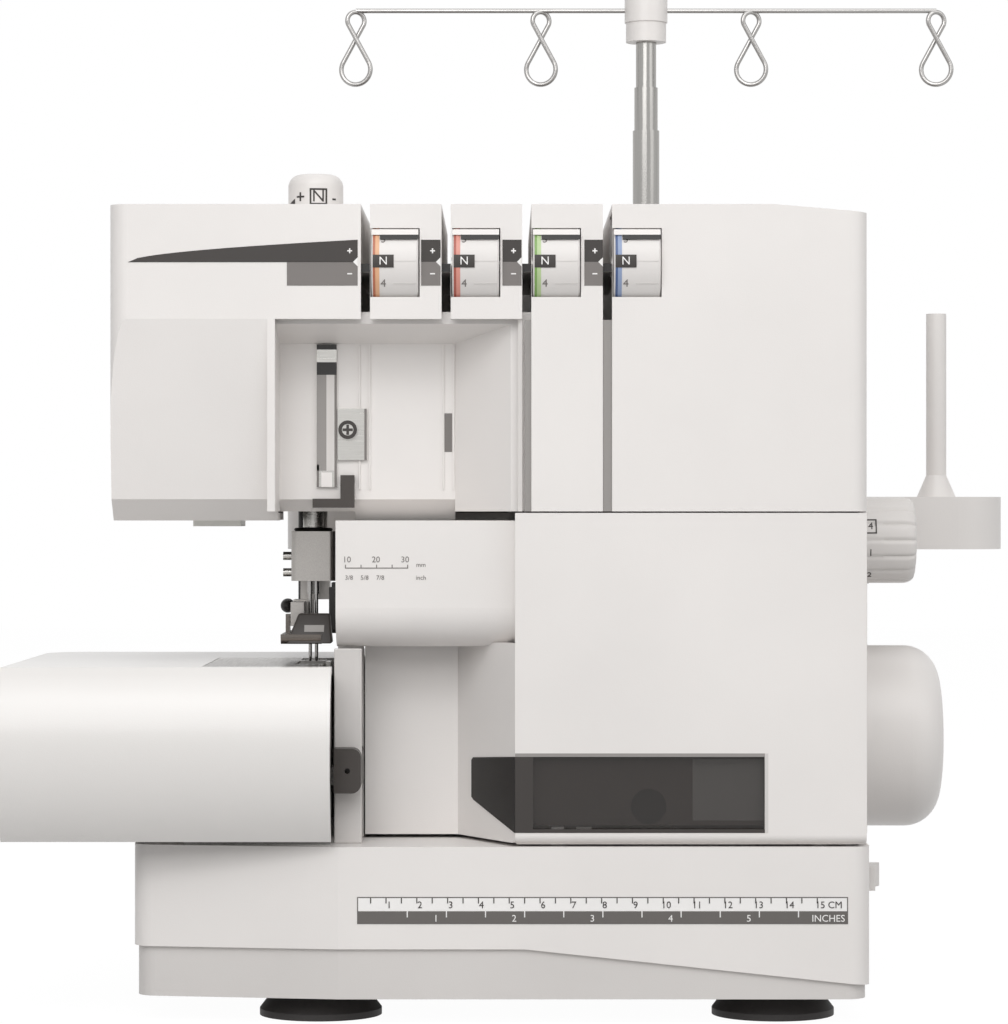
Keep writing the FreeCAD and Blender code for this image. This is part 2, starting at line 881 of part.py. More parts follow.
# Needle plate with a needle hole and two feed slots
feed_width = size("feed_dog_width", 8.0)
feed_gap = size("feed_dog_gap", 0.6)
feed_travel = size("feed_dog_travel", 2.0)
diff_front = size("diff_dog_front_y", -88.0)
diff_length = size("diff_dog_length", 20.0)
main_front = size("main_dog_front_y", -52.0)
main_length = size("main_dog_length", 8.0)
feed_left = needle_x - feed_width / 2
needle_hole_width = size("needle_hole_width", 6.0)
needle_hole_length = size("needle_hole_length", 4.0)
needle_slot = block(
    needle_x - needle_hole_width / 2,
    needle_y - needle_hole_length / 2,
    bed_top - past,
    needle_hole_width,
    needle_hole_length,
    2 * cloth_wall,
)


def feed_slot(start, length):
    spare = feed_travel + feed_gap
    return block(
        feed_left - feed_gap,
        start - spare,
        bed_top - past,
        feed_width + 2 * feed_gap,
        length + 2 * spare,
        2 * cloth_wall,
    )


plate_slab = between(plate_left, plate_right, plate_front, plate_back, bed_top, plate_top)
node(
    "needle_plate",
    cut(plate_slab, needle_slot, feed_slot(diff_front, diff_length), feed_slot(main_front, main_length)),
)

# Cloth plate: a shell over the free arm, bulged in front, that slides off to the left
cloth_left = size("cloth_plate_left_x", -174.5)
cloth_right = size("cloth_plate_right_x", -67.5)
cloth_front = size("cloth_plate_front_y", -117.0)
cloth_bulge = size("cloth_plate_bulge_radius", 46.0)
cloth_back = size("cloth_plate_back_y", 17.0)
cloth_bottom = size("cloth_plate_bottom_z", 60.0)
cloth_corner = size("cloth_plate_corner_radius", 14.0)


def cloth_profile(inset):
    inset = as_length(inset)
    return [
        (cloth_front + inset, plate_top - inset, cloth_bulge - inset, 1),
        (cloth_front + inset, cloth_bottom - inset),
        (cloth_back - inset, cloth_bottom - inset),
        (cloth_back - inset, plate_top - inset),
    ]


cloth_outer = prism("YZ", cloth_profile(0), cloth_left, cloth_right - cloth_left)
cloth_shape = rounded(cloth_outer, cloth_corner, "Z", x=[cloth_left], y=[cloth_back])
cloth_inner = prism("YZ", cloth_profile(cloth_wall), cloth_left + cloth_wall, cloth_right - cloth_left)
cloth_open = between(
    cloth_left + cloth_wall,
    cloth_right + past,
    cloth_front + cloth_wall,
    cloth_back - cloth_wall,
    0,
    cloth_bottom + cloth_wall,
)
cloth_notch = between(
    plate_left - slide_gap,
    cloth_right + past,
    plate_front - slide_gap,
    plate_back + slide_gap,
    bed_top,
    plate_top + past,
)
node("cloth_plate", cut(cloth_shape, cloth_inner, cloth_open, cloth_notch))

# Main frame: foot plate, two bearing walls, the arm over the bed and the beam that carries the free arm
frame_foot = size("frame_foot_thickness", 6.0)
frame_left_wall = size("frame_left_wall_x", 8.0)
pulley_inset = size("pulley_inset", 11.8)
frame_before_pulley = size("frame_before_pulley", 15.0)
pulley_x = body_right - pulley_inset
frame_right_wall = pulley_x - frame_before_pulley
frame_wall = size("frame_wall", 12.0)
bearing_rise = size("frame_bearing_rise", 30.0)
frame_front = size("frame_front_y", -60.0)
frame_back = size("frame_back_y", 24.0)
frame_arm_bottom = size("frame_arm_bottom_z", 196.0)
frame_arm_height = size("frame_arm_height", 22.0)
frame_arm_left = size("frame_arm_left_x", -122.0)
frame_arm_front = size("frame_arm_front_y", -76.0)
frame_arm_depth = size("frame_arm_depth", 54.0)
motor_side_y = size("frame_motor_side_y", -22.0)
beam_bottom = size("frame_beam_bottom_z", 63.0)
beam_height = size("frame_beam_height", 15.0)
beam_front = size("frame_beam_front_y", -30.0)
looper_wall = size("looper_wall_thickness", 6.0)
looper_wall_left = size("looper_wall_left_x", -62.0)
looper_wall_top = size("looper_wall_top_z", 100.0)
knife_wall_front = size("knife_wall_front_y", -56.0)
knife_wall_left = size("knife_wall_left_x", -24.0)
knife_wall_top = size("knife_wall_top_z", 150.0)
bush_wall = size("bush_wall", 3.0)
bar_radius = size("needle_bar_radius", 3.5)
presser_radius = size("presser_bar_radius", 4.0)
presser_x = needle_x
bush_radius = shaft_radius + bush_wall
frame_foot_top = pan_floor + frame_foot
frame_arm_top = frame_arm_bottom + frame_arm_height
left_wall_right = frame_left_wall + frame_wall
foot_plate = between(
    frame_left_wall,
    frame_right_wall + frame_wall,
    frame_front,
    motor_side_y,
    pan_floor,
    frame_foot_top,
)
left_bearing = between(frame_left_wall, left_wall_right, frame_front, frame_back, pan_floor, frame_arm_top)
right_wall_right = frame_right_wall + frame_wall
right_bearing = between(
    frame_right_wall,
    right_wall_right,
    frame_front,
    shaft_y + 2 * bush_radius,
    base_top,
    shaft_z + bearing_rise,
)
right_leg = between(frame_right_wall, right_wall_right, frame_front, motor_side_y, pan_floor, base_top)
arm_beam = between(
    frame_arm_left,
    left_wall_right,
    frame_arm_front,
    frame_arm_front + frame_arm_depth,
    frame_arm_bottom,
    frame_arm_top,
)
beam = between(bed_right, left_wall_right, beam_front, bed_back, beam_bottom, beam_bottom + beam_height)
looper_plate = between(
    looper_wall_left,
    left_wall_right,
    beam_front - looper_wall,
    beam_front + past,
    beam_bottom,
    looper_wall_top,
)
knife_plate = between(
    knife_wall_left,
    left_wall_right,
    knife_wall_front,
    knife_wall_front + looper_wall,
    looper_wall_top,
    knife_wall_top,
)
knife_gusset = between(
    knife_wall_left,
    left_wall_right,
    knife_wall_front,
    beam_front,
    looper_wall_top - looper_wall,
    looper_wall_top,
)

# Looper shafts run back through the looper wall.
looper_shaft = size("looper_shaft_radius", 3.0)
lower_looper_x = size("lower_looper_x", -30.0)
lower_looper_z = size("lower_looper_z", 72.0)
upper_looper_x = size("upper_looper_x", -52.0)
upper_looper_z = size("upper_looper_z", 70.0)
looper_bores = []
for looper_x, looper_z in ((lower_looper_x, lower_looper_z), (upper_looper_x, upper_looper_z)):
    looper_bores.append(
        rod("Y", looper_x, beam_front - looper_wall - past, looper_z, looper_shaft + running_gap, frame_wall)
    )
needle_bush = bar_radius + bush_wall
presser_bush = presser_radius + bush_wall
bush_bores = [
    rod("Z", needle_x, needle_y, frame_arm_bottom - past, needle_bush, frame_arm_height + 2 * past),
    rod("Z", presser_x, presser_y, frame_arm_bottom - past, presser_bush, frame_arm_height + 2 * past),
    rod("X", frame_left_wall - past, shaft_y, shaft_z, bush_radius, frame_wall + 2 * past),
    rod("X", frame_right_wall - past, shaft_y, shaft_z, bush_radius, frame_wall + 2 * past),
]
bearings = join(foot_plate, left_bearing, right_bearing, right_leg)
casting = join(bearings, arm_beam, beam, looper_plate, knife_plate, knife_gusset)
node("main_frame", cut(casting, *bush_bores, *looper_bores))

# Bushes: plain sleeves pressed into the frame
bush_proud = size("bush_proud", 2.0)


def sleeve(axis, x, y, z, outer, inner, length):
    return cut(rod(axis, x, y, z, outer, length), rod(axis, x, y, z, inner, length))


shaft_bore = shaft_radius + running_gap
bar_bush_length = frame_arm_height + 2 * bush_proud
bar_bush_z = frame_arm_bottom - bush_proud
bushes = []
for wall_x in (frame_left_wall, frame_right_wall):
    bush_length = frame_wall + 2 * bush_proud
    bushes.append(sleeve("X", wall_x - bush_proud, shaft_y, shaft_z, bush_radius, shaft_bore, bush_length))
for bar_y, outer, bar in ((needle_y, needle_bush, bar_radius), (presser_y, presser_bush, presser_radius)):
    bushes.append(sleeve("Z", needle_x, bar_y, bar_bush_z, outer, bar + running_gap, bar_bush_length))
node("bushes", group(*bushes))

# Bed cover: a shell behind the knives, between the cloth plate and the column
bed_cover_gap = size("bed_cover_gap", 0.9)
bed_cover_lap = size("bed_cover_lap", 4.5)
bed_cover_front = size("bed_cover_front_y", -27.0)
bed_cover_left = cloth_right + bed_cover_gap
bed_cover_side = cloth_back - cloth_wall - bed_cover_lap
bed_roof = between(
    bed_cover_left, column_left - slide_gap, bed_cover_front, body_back, plate_top - wall, plate_top
)
bed_rear = between(bed_cover_left, column_left - slide_gap, body_back - wall, body_back, base_top, plate_top)
bed_side = between(bed_cover_left, bed_cover_left + wall, bed_cover_side, body_back, base_top, plate_top)
node("bed_cover", join(bed_roof, bed_rear, bed_side))

# Drive: main shaft, handwheel, pulleys, belt and motor
shaft_left = size("main_shaft_left_x", -20.0)
wheel_radius = size("handwheel_radius", 31.9)
wheel_width = size("handwheel_width", 33.0)
wheel_gap = size("handwheel_gap", 1.2)
wheel_edge = size("handwheel_edge_radius", 12.0)
wheel_rim = size("handwheel_rim", 6.0)
wheel_web = size("handwheel_web", 8.0)
wheel_hub = size("handwheel_hub_radius", 12.0)
pulley_width = size("pulley_width", 7.0)
driven_radius = size("driven_pulley_radius", 24.0)
driver_radius = size("motor_pulley_radius", 8.0)
flange = size("pulley_flange", 1.5)
belt_thickness = size("belt_thickness", 1.6)
motor_back_inset = size("motor_back_inset", 47.0)
motor_y = base_back - motor_back_inset
motor_z = size("motor_z", 36.0)
motor_radius = size("motor_radius", 21.0)
motor_length = size("motor_length", 40.0)
motor_pulley_gap = size("motor_pulley_gap", 5.0)
motor_left = pulley_x - motor_pulley_gap - motor_length
motor_shaft = size("motor_shaft_radius", 3.0)
motor_foot = size("motor_foot_width", 28.0)
wheel_left = base_right + wheel_gap
shaft_right = wheel_left + wheel_width - wheel_web / 2
node("main_shaft", rod("X", shaft_left, shaft_y, shaft_z, shaft_radius, shaft_right - shaft_left))
wheel_disc = rod("X", wheel_left, shaft_y, shaft_z, wheel_radius, wheel_width)
wheel_disc.recompute(True)
wheel_round = doc.addObject("Part::Fillet", "wheel_round")
wheel_round.Base = wheel_disc
rim_edges = []
for index, edge in enumerate(wheel_disc.Shape.Edges, start=1):
    if at(edge, "x", [wheel_left + wheel_width]) and len(edge.Vertexes) == 1:
        rim_edges.append((index, wheel_edge.number, wheel_edge.number))
wheel_round.Edges = rim_edges
wheel_pocket = sleeve(
    "X",
    wheel_left - past,
    shaft_y,
    shaft_z,
    wheel_radius - wheel_rim,
    wheel_hub,
    wheel_width - wheel_edge - wheel_web + past,
)
wheel_bore = rod("X", wheel_left - past, shaft_y, shaft_z, shaft_radius, shaft_right - wheel_left + past)
node("handwheel", cut(wheel_round, wheel_pocket, wheel_bore))


def pulley(y, z, radius, bore):
    disc = rod("X", pulley_x, y, z, radius + flange, pulley_width)
    groove = sleeve("X", pulley_x + flange, y, z, radius + 2 * flange, radius, pulley_width - 2 * flange)
    return cut(disc, groove, rod("X", pulley_x - past, y, z, bore, pulley_width + 2 * past))


node("driven_pulley", pulley(shaft_y, shaft_z, driven_radius, shaft_radius))
rotor_left = motor_left + motor_length / 2
rotor_right = pulley_x + pulley_width + flange
rotor = rod("X", rotor_left, motor_y, motor_z, motor_shaft, rotor_right - rotor_left)
node("motor_pulley", join(pulley(motor_y, motor_z, driver_radius, motor_shaft), rotor))
motor_can = rod("X", motor_left, motor_y, motor_z, motor_radius, motor_length)
motor_base = block(
    motor_left + motor_length / 4,
    motor_y - motor_foot / 2,
    pan_floor,
    motor_length / 2,
    motor_foot,
    motor_z - pan_floor,
)
motor_bore = rod("X", rotor_left - running_gap, motor_y, motor_z, motor_shaft + running_gap, motor_length)
node("motor", cut(join(motor_can, motor_base), motor_bore))


def belt_loop(big_radius, small_radius):
    # Two arcs and the two straight runs that touch both pulleys, seen along the shaft.
    big = FreeCAD.Vector(0, shaft_y.number, shaft_z.number)
    small = FreeCAD.Vector(0, motor_y.number, motor_z.number)
    along = small - big
    spread = math.acos((big_radius - small_radius) / along.Length)
    heading = math.atan2(along.z, along.y)
    back = heading + math.pi

    def rim(centre, radius, angle):
        return centre + FreeCAD.Vector(0, radius * math.cos(angle), radius * math.sin(angle))

    upper, lower = heading + spread, heading - spread
    big_upper, big_back, big_lower = [rim(big, big_radius, angle) for angle in (upper, back, lower)]
    small_stops = (lower, heading, upper)
    small_lower, small_far, small_upper = [rim(small, small_radius, angle) for angle in small_stops]
    return Part.Wire(
        [
            Part.Arc(big_upper, big_back, big_lower).toShape(),
            Part.makeLine(big_lower, small_lower),
            Part.Arc(small_lower, small_far, small_upper).toShape(),
            Part.makeLine(small_upper, big_upper),
        ]
    )


belt_width = pulley_width - 2 * flange - 2 * moving_gap
belt_inside = moving_gap.number
belt_outside = belt_inside + belt_thickness.number
belt_ring = Part.Face(belt_loop(driven_radius.number + belt_outside, driver_radius.number + belt_outside))
belt_hole = Part.Face(belt_loop(driven_radius.number + belt_inside, driver_radius.number + belt_inside))
belt = doc.addObject("Part::Feature", "belt")
belt.Shape = belt_ring.cut(belt_hole).extrude(FreeCAD.Vector(belt_width.number, 0, 0))
belt.Placement.Base = FreeCAD.Vector((pulley_x + flange + moving_gap).number, 0, 0)
node("drive_belt", belt)

# Needle bar, clamp, set screws and two needles, at the bottom of the stroke
clamp_left = size("needle_clamp_left_x", -83.2)
clamp_width = size("needle_clamp_width", 15.0)
clamp_bottom = size("needle_clamp_bottom_z", 143.6)
clamp_height = size("needle_clamp_height", 16.7)
clamp_depth = size("needle_clamp_depth", 14.0)
needle_bar_top = size("needle_bar_top_z", 232.0)
needle_pitch = size("needle_pitch", 2.1)
needle_radius = size("needle_radius", 0.6)
shank_radius = size("needle_shank_radius", 0.95)
shank_length = size("needle_shank_length", 9.0)
needle_tip = size("needle_tip_z", 114.8)
point_length = size("needle_point_length", 3.0)
set_screw = size("set_screw_radius", 1.4)
set_screw_length = size("set_screw_length", 3.0)
clamp_top = clamp_bottom + clamp_height
node("needle_bar", rod("Z", needle_x, needle_y, clamp_top, bar_radius, needle_bar_top - clamp_top))
needle_places = (needle_x - needle_pitch / 2, needle_x + needle_pitch / 2)
clamp_front = needle_y - clamp_depth / 2
clamp_block = block(clamp_left, clamp_front, clamp_bottom, clamp_width, clamp_depth, clamp_height)
clamp_edge = size("needle_clamp_edge", 2.0)
clamp_round = rounded(clamp_block, clamp_edge, "Z")
shank_holes = []
needle_solids = []
for place_x in needle_places:
    shank_seat = shank_length / 2
    shank_holes.append(rod("Z", place_x, needle_y, clamp_bottom - past, shank_radius, shank_seat + past))
    shank = rod("Z", place_x, needle_y, clamp_bottom - shank_length / 2, shank_radius, shank_length)
    blade_bottom = needle_tip + point_length
    blade = rod("Z", place_x, needle_y, blade_bottom, needle_radius, clamp_bottom - blade_bottom)
    point = taper("Z", place_x, needle_y, needle_tip, needle_radius / 6, needle_radius, point_length)
    needle_solids.append(join(shank, blade, point))
node("needle_clamp", cut(clamp_round, *shank_holes))
node("needles", group(*needle_solids))
screw_rows = (clamp_bottom + clamp_height / 6, clamp_bottom + clamp_height / 2)
set_screws = []
for row_z in screw_rows:
    set_screws.append(rod("X", clamp_left - set_screw_length, needle_y, row_z, set_screw, set_screw_length))
node("needle_set_screws", group(*set_screws))

# Presser bar with its ankle, hinged foot and spring, in the raised position
ankle_bottom = size("ankle_bottom_z", 129.0)
ankle_top = size("ankle_top_z", 145.0)
ankle_width = size("ankle_width", 4.4)
ankle_front = size("ankle_front_y", -72.0)
foot_left_x = size("presser_foot_left_x", -85.2)
foot_width = size("presser_foot_width", 13.4)
foot_front_y = size("presser_foot_front_y", -94.0)
foot_length = size("presser_foot_length", 46.0)
sole_z = size("presser_sole_z", 123.2)
sole_thickness = size("presser_sole_thickness", 3.2)
foot_hinge_z = size("presser_hinge_z", 130.5)
foot_hinge_y = size("presser_hinge_y", -69.0)
foot_pin = size("presser_pin_radius", 1.2)
presser_bar_below = size("presser_bar_below_top", 20.8)
presser_bar_top = top - presser_bar_below
collar_radius = size("presser_collar_radius", 7.5)
collar_height = size("presser_collar_height", 6.0)
spring_wire = size("presser_spring_wire_radius", 0.8)
spring_radius = size("presser_spring_radius", 6.2)
spring_pitch = size("presser_spring_pitch", 4.0)
ankle_offset = size("ankle_offset", 5.5)
ankle_left = needle_x - ankle_width - ankle_offset / 2
foot_needle_gap = size("presser_needle_gap", 2.4)
collar_z = frame_arm_bottom - bush_proud - 2 * collar_height
node(
    "presser_bar",
    join(
        rod("Z", presser_x, presser_y, ankle_top, presser_radius, presser_bar_top - ankle_top),
        rod("Z", presser_x, presser_y, collar_z, collar_radius, collar_height),
    ),
)
ankle_foot_gap = size("ankle_foot_gap", 0.5)
ankle_wall = size("ankle_wall", 1.0)
ankle_height = size("ankle_height", 8.0)
toe_below = size("ankle_toe_below_hinge", 2.0)
toe_above = size("ankle_toe_above_hinge", 6.0)
ankle_half = presser_radius + ankle_wall
ankle_block = between(
    presser_x - ankle_half,
    presser_x + ankle_half,
    presser_y - ankle_half,
    presser_y + ankle_half,
    ankle_top - ankle_height,
    ankle_top,
)
ankle_arm = between(
    ankle_left,
    presser_x,
    needle_y + clamp_depth / 2 - ankle_wall,
    presser_y,
    ankle_bottom + ankle_foot_gap,
    ankle_top - ankle_height,
)
ankle_toe = between(
    ankle_left,
    ankle_left + ankle_width,
    ankle_front,
    presser_y,
    foot_hinge_z - toe_below,
    foot_hinge_z + toe_above,
)
ankle_bore = rod(
    "X", ankle_left - past, foot_hinge_y, foot_hinge_z, foot_pin + running_gap, ankle_width + 2 * past
)
node("presser_ankle", cut(join(ankle_block, ankle_arm, ankle_toe), ankle_bore))
sole = block(foot_left_x, foot_front_y, sole_z, foot_width, foot_length, sole_thickness)
toe_edge = size("presser_toe_radius", 2.4)
sole_round = rounded(sole, toe_edge, "X", y=[foot_front_y], z=[sole_z])
ear_width = size("presser_ear_width", 1.4)
ear_gap = size("presser_ear_gap", 0.3)
ear_depth = size("presser_ear_depth", 5.0)
ear_rise = size("presser_ear_rise", 2.0)
ear_left = ankle_left - ear_gap - ear_width
ear_right = ankle_left + ankle_width + ear_gap
ears = []
for ear_x in (ear_left, ear_right):
    ears.append(
        between(
            ear_x,
            ear_x + ear_width,
            foot_hinge_y - ear_depth / 2,
            foot_hinge_y + ear_depth / 2,
            sole_z + sole_thickness / 2,
            foot_hinge_z + ear_rise,
        )
    )
pin = rod("X", ear_left, foot_hinge_y, foot_hinge_z, foot_pin, ear_right + ear_width - ear_left)
needle_gate = between(
    needle_places[0] - foot_needle_gap,
    needle_places[1] + foot_needle_gap,
    needle_y - 2 * foot_needle_gap,
    needle_y + 2 * foot_needle_gap,
    sole_z - past,
    sole_z + sole_thickness + past,
)
node("presser_foot", cut(join(sole_round, *ears, pin), needle_gate))


def spring_path(x, y, bottom, radius, pitch, turns):
    # Quarter turns, each an arc through its start, middle and end on the helix.
    def on_helix(quarter):
        angle = quarter * math.pi / 2
        return FreeCAD.Vector(
            x + radius * math.cos(angle), y + radius * math.sin(angle), bottom + pitch * quarter / 4
        )

    edges = []
    for quarter in range(4 * turns):
        arc = Part.Arc(on_helix(quarter), on_helix(quarter + 0.5), on_helix(quarter + 1))
        edges.append(arc.toShape())
    return Part.Wire(edges)


spring_turns = 5
spring_bottom = frame_arm_top + bush_proud + moving_gap + spring_wire
spring_route = spring_path(
    presser_x.number,
    presser_y.number,
    spring_bottom.number,
    spring_radius.number,
    spring_pitch.number,
    spring_turns,
)
spring_start = spring_route.Edges[0].valueAt(spring_route.Edges[0].FirstParameter)
spring_heading = spring_route.Edges[0].tangentAt(spring_route.Edges[0].FirstParameter)
spring_section = Part.Wire(Part.makeCircle(spring_wire.number, spring_start, spring_heading))
spring = doc.addObject("Part::Feature", "spring")
spring.Shape = spring_route.makePipeShell([spring_section], True, False)
print("spring gap between turns", round(spring_pitch.number - 2 * spring_wire.number, 2))
node("presser_spring", spring)

# Pressure dial on top of the head, over the presser bar
pressure_radius = size("pressure_dial_radius", 9.4)
pressure_height = size("pressure_dial_height", 15.1)
stem_clearance = size("pressure_stem_clearance", 1.0)
pressure_stem_bottom = presser_bar_top + stem_clearance
pressure_stem_length = top + past - pressure_stem_bottom
node(
    "pressure_dial",
    join(
        rod("Z", presser_x, presser_y, top + moving_gap, pressure_radius, pressure_height),
        rod("Z", presser_x, presser_y, pressure_stem_bottom, pressure_stem, pressure_stem_length),
    ),
)

# Foot lifter: a lever on the back of the head, with a ball grip below it
lifter_hub = size("lifter_hub_radius", 7.0)
lifter_thickness = size("lifter_thickness", 4.0)
lifter_length = size("lifter_length", 49.0)
lifter_arm = size("lifter_arm_radius", 1.8)
lifter_ball = size("lifter_ball_radius", 2.6)
lifter_toe = size("lifter_toe", 5.6)
lifter_back = head_back + moving_gap
lifter_mid = lifter_back + lifter_thickness / 2
lifter = join(
    rod("Y", lifter_x, head_back - 2 * wall, lifter_z, lifter_pin, 2 * wall + moving_gap + past),
    rod("Y", lifter_x, lifter_back, lifter_z, lifter_hub, lifter_thickness),
    rod("Z", lifter_x, lifter_mid, lifter_z - lifter_length, lifter_arm, lifter_length),
    rod("X", lifter_x - lifter_toe, lifter_mid, lifter_z - lifter_length, lifter_arm, lifter_toe),
    ball(lifter_x - lifter_toe, lifter_mid, lifter_z - lifter_length, lifter_ball),
)
node("foot_lifter", lifter)

# Loopers: blades on rocking shafts
looper_thickness = size("looper_thickness", 4.0)
looper_hub = size("looper_hub_radius", 5.5)
lower_looper_y = size("lower_looper_y", -72.0)
upper_looper_y = size("upper_looper_y", -64.0)
lower_arm_height = size("lower_looper_height", 36.0)
lower_reach = size("lower_looper_reach", 25.0)
upper_arm_height = size("upper_looper_height", 38.0)
upper_reach = size("upper_looper_reach", 8.0)
looper_arm = size("looper_arm_width", 7.0)
looper_tip = size("looper_tip_height", 2.0)
shaft_end_gap = size("looper_shaft_end_gap", 2.0)
shaft_end = beam_front - looper_wall + frame_wall - shaft_end_gap


def looper(x, y, z, height, reach):
    blade = prism(
        "XZ",
        [
            (x - looper_arm / 2, z),
            (x + looper_arm / 2, z),
            (x + looper_arm / 2, z + height - looper_arm),
            (x - looper_arm / 2, z + height),
            (x - reach, z + height),
            (x - reach, z + height - looper_tip),
            (x - looper_arm / 2, z + height - looper_arm),
        ],
        y,
        looper_thickness,
    )
    return join(
        blade,
        rod("Y", x, y, z, looper_hub, looper_thickness),
        rod("Y", x, y, z, looper_shaft, shaft_end - y),
    )


node("lower_looper", looper(lower_looper_x, lower_looper_y, lower_looper_z, lower_arm_height, lower_reach))
node("upper_looper", looper(upper_looper_x, upper_looper_y, upper_looper_z, upper_arm_height, upper_reach))

# Feed dogs: toothed bars on the shelf of the free arm, flush with the needle plate
tooth_depth = size("feed_tooth_depth", 1.0)
tooth_pitch = size("feed_tooth_pitch", 2.0)
dog_bottom = shelf_z + slide_gap
dog_top = plate_top - slide_gap


def feed_dog(start, length):
    outline = [(start, dog_bottom), (start + length, dog_bottom)]
    tooth_count = int(length.number / tooth_pitch.number)
    for tooth in reversed(range(tooth_count)):
        outline.append((start + (tooth + 1) * tooth_pitch, dog_top - tooth_depth))
        outline.append((start + tooth * tooth_pitch, dog_top))
    return prism("YZ", outline, feed_left, feed_width)


node("differential_feed_dog", feed_dog(diff_front, diff_length))
node("main_feed_dog", feed_dog(main_front, main_length))

# Knives: the upper one on a sliding arm, the lower one on the dark holder beside the cloth plate
knife_thickness = size("knife_thickness", 1.6)
knife_clamp = size("lower_knife_clamp_height", 6.0)
knife_left = size("upper_knife_left_x", -69.6)
knife_depth = size("upper_knife_depth", 12.0)
knife_bottom = size("upper_knife_bottom_z", 126.0)
knife_top = size("upper_knife_top_z", 143.0)
knife_arm_height = size("knife_arm_height", 8.0)
knife_arm_depth = size("knife_arm_depth", 5.0)
knife_arm_back = knife_wall_front - slide_gap
knife_arm_front = knife_arm_back - knife_arm_depth
node(
    "upper_knife_arm",
    between(
        knife_left + knife_thickness,
        knife_wall_left + frame_wall,
        knife_arm_front,
        knife_arm_back,
        knife_top - knife_arm_height,
        knife_top,
    ),
)
node(
    "upper_knife",
    between(
        knife_left,
        knife_left + knife_thickness,
        knife_arm_back - knife_depth,
        knife_arm_back,
        knife_bottom,
        knife_top,
    ),
)
holder_left = size("knife_holder_left_x", -67.0)
holder_right = size("knife_holder_right_x", -58.2)
holder_front = size("knife_holder_front_y", -108.0)
holder_bottom = size("knife_holder_bottom_z", 75.0)
holder_top = size("knife_holder_top_z", 89.6)
holder_back = size("knife_holder_back_y", -58.0)
holder_corner = size("knife_holder_corner_radius", 3.0)
holder_hole = size("knife_holder_hole_radius", 0.9)
lower_knife_back = size("lower_knife_back_y", -60.0)
lower_knife_depth = size("lower_knife_depth", 12.0)
lower_knife_left = size("lower_knife_left_x", -71.4)
holder_bar = between(holder_left, holder_right, holder_front, holder_back, holder_bottom, holder_top)
holder_round = rounded(holder_bar, holder_corner, "Y", x=[holder_right])
lower_knife_front = lower_knife_back - lower_knife_depth
holder_leg = between(
    holder_left, holder_right, lower_knife_front, holder_back, base_top, holder_bottom + past
)
holder_middle = (holder_left + holder_right) / 2
holder_screw_hole = rod(
    "Y", holder_middle, holder_front - past, (holder_bottom + holder_top) / 2, holder_hole, 2 * holder_corner
)
node("lower_knife_holder", cut(join(holder_round, holder_leg), holder_screw_hole))
node(
    "lower_knife",
    join(
        between(
            lower_knife_left,
            lower_knife_left + knife_thickness,
            lower_knife_front,
            lower_knife_back,
            holder_bottom,
            plate_top,
        ),
        between(
            lower_knife_left,
            holder_left,
            lower_knife_front,
            lower_knife_back,
            holder_bottom,
            holder_bottom + knife_clamp,
        ),
    ),
)

# Tension dials: wheels that show through windows in the front cover, each on its own spindle
spindle_spare = size("tension_spindle_spare", 0.4)
spindles = []
for number, dial_x in enumerate(dial_places, start=1):
    wheel = rod("X", dial_x - dial_width / 2, dial_y, dial_z, dial_radius, dial_width)
    bore = rod("X", dial_x - dial_width, dial_y, dial_z, spindle_radius + running_gap, 2 * dial_width)
    node(f"tension_dial_{number}", cut(wheel, bore))
    spindles.append(
        rod(
            "X",
            dial_x - dial_width / 2 - spindle_spare,
            dial_y,
            dial_z,
            spindle_radius,
            dial_width + 2 * spindle_spare,
        )
    )
node("tension_spindles", group(*spindles))

# Side dials: stitch length in front, differential feed behind
side_dial_radius = size("side_dial_radius", 15.0)
side_dial_height = size("side_dial_height", 24.0)
side_dial_collar = size("side_dial_collar", 9.0)
side_dial_grip = size("side_dial_grip_radius", 12.5)


def side_dial(y, radius, grip):
    first = body_right + moving_gap
    collar = rod("X", first, y, stitch_z, radius, side_dial_collar)
    knob_height = side_dial_height - side_dial_collar
    knob = taper("X", first + side_dial_collar, y, stitch_z, radius, grip, knob_height)
    stem = rod("X", body_right - 2 * wall, y, stitch_z, dial_stem, 2 * wall + moving_gap + past)
    return join(collar, knob, stem)


feed_dial_radius = size("feed_dial_radius", 13.0)
feed_dial_grip = size("feed_dial_grip_radius", 11.0)
node("stitch_length_dial", side_dial(stitch_y, side_dial_radius, side_dial_grip))
node("differential_feed_dial", side_dial(feed_dial_y, feed_dial_radius, feed_dial_grip))

# Spool stand: a rounded tray on the back of the column
stand_left = size("stand_left_x", -92.5)
stand_width = size("stand_width", 267.0)
stand_front = size("stand_front_y", 54.0)
stand_depth = size("stand_depth", 73.0)
stand_bottom = size("stand_bottom_z", 153.0)
stand_height = size("stand_height", 19.4)
stand_corner = size("stand_corner_radius", 18.0)
stand_wall = size("stand_wall", 3.0)
stand_lug_width = size("stand_lug_width", 80.0)
stand_top = stand_bottom + stand_height
stand_right = stand_left + stand_width
stand_back = stand_front + stand_depth
stand_middle = size("pole_x", 42.3)
pin_y = size("spool_pin_y", 87.0)
pin_inner = size("spool_pin_inner_spacing", 39.8)
pin_outer = size("spool_pin_outer_spacing", 109.9)
pin_radius = size("spool_pin_radius", 3.8)
pin_base = size("spool_pin_base_radius", 7.4)
pin_flare = size("spool_pin_flare", 8.3)
pin_top = size("spool_pin_top_z", 241.8)
pin_places = [stand_middle + spacing for spacing in (-pin_outer, -pin_inner, pin_inner, pin_outer)]
stand_block = between(stand_left, stand_right, stand_front, stand_back, stand_bottom, stand_top)
stand_round = rounded(stand_block, stand_corner, "Z")
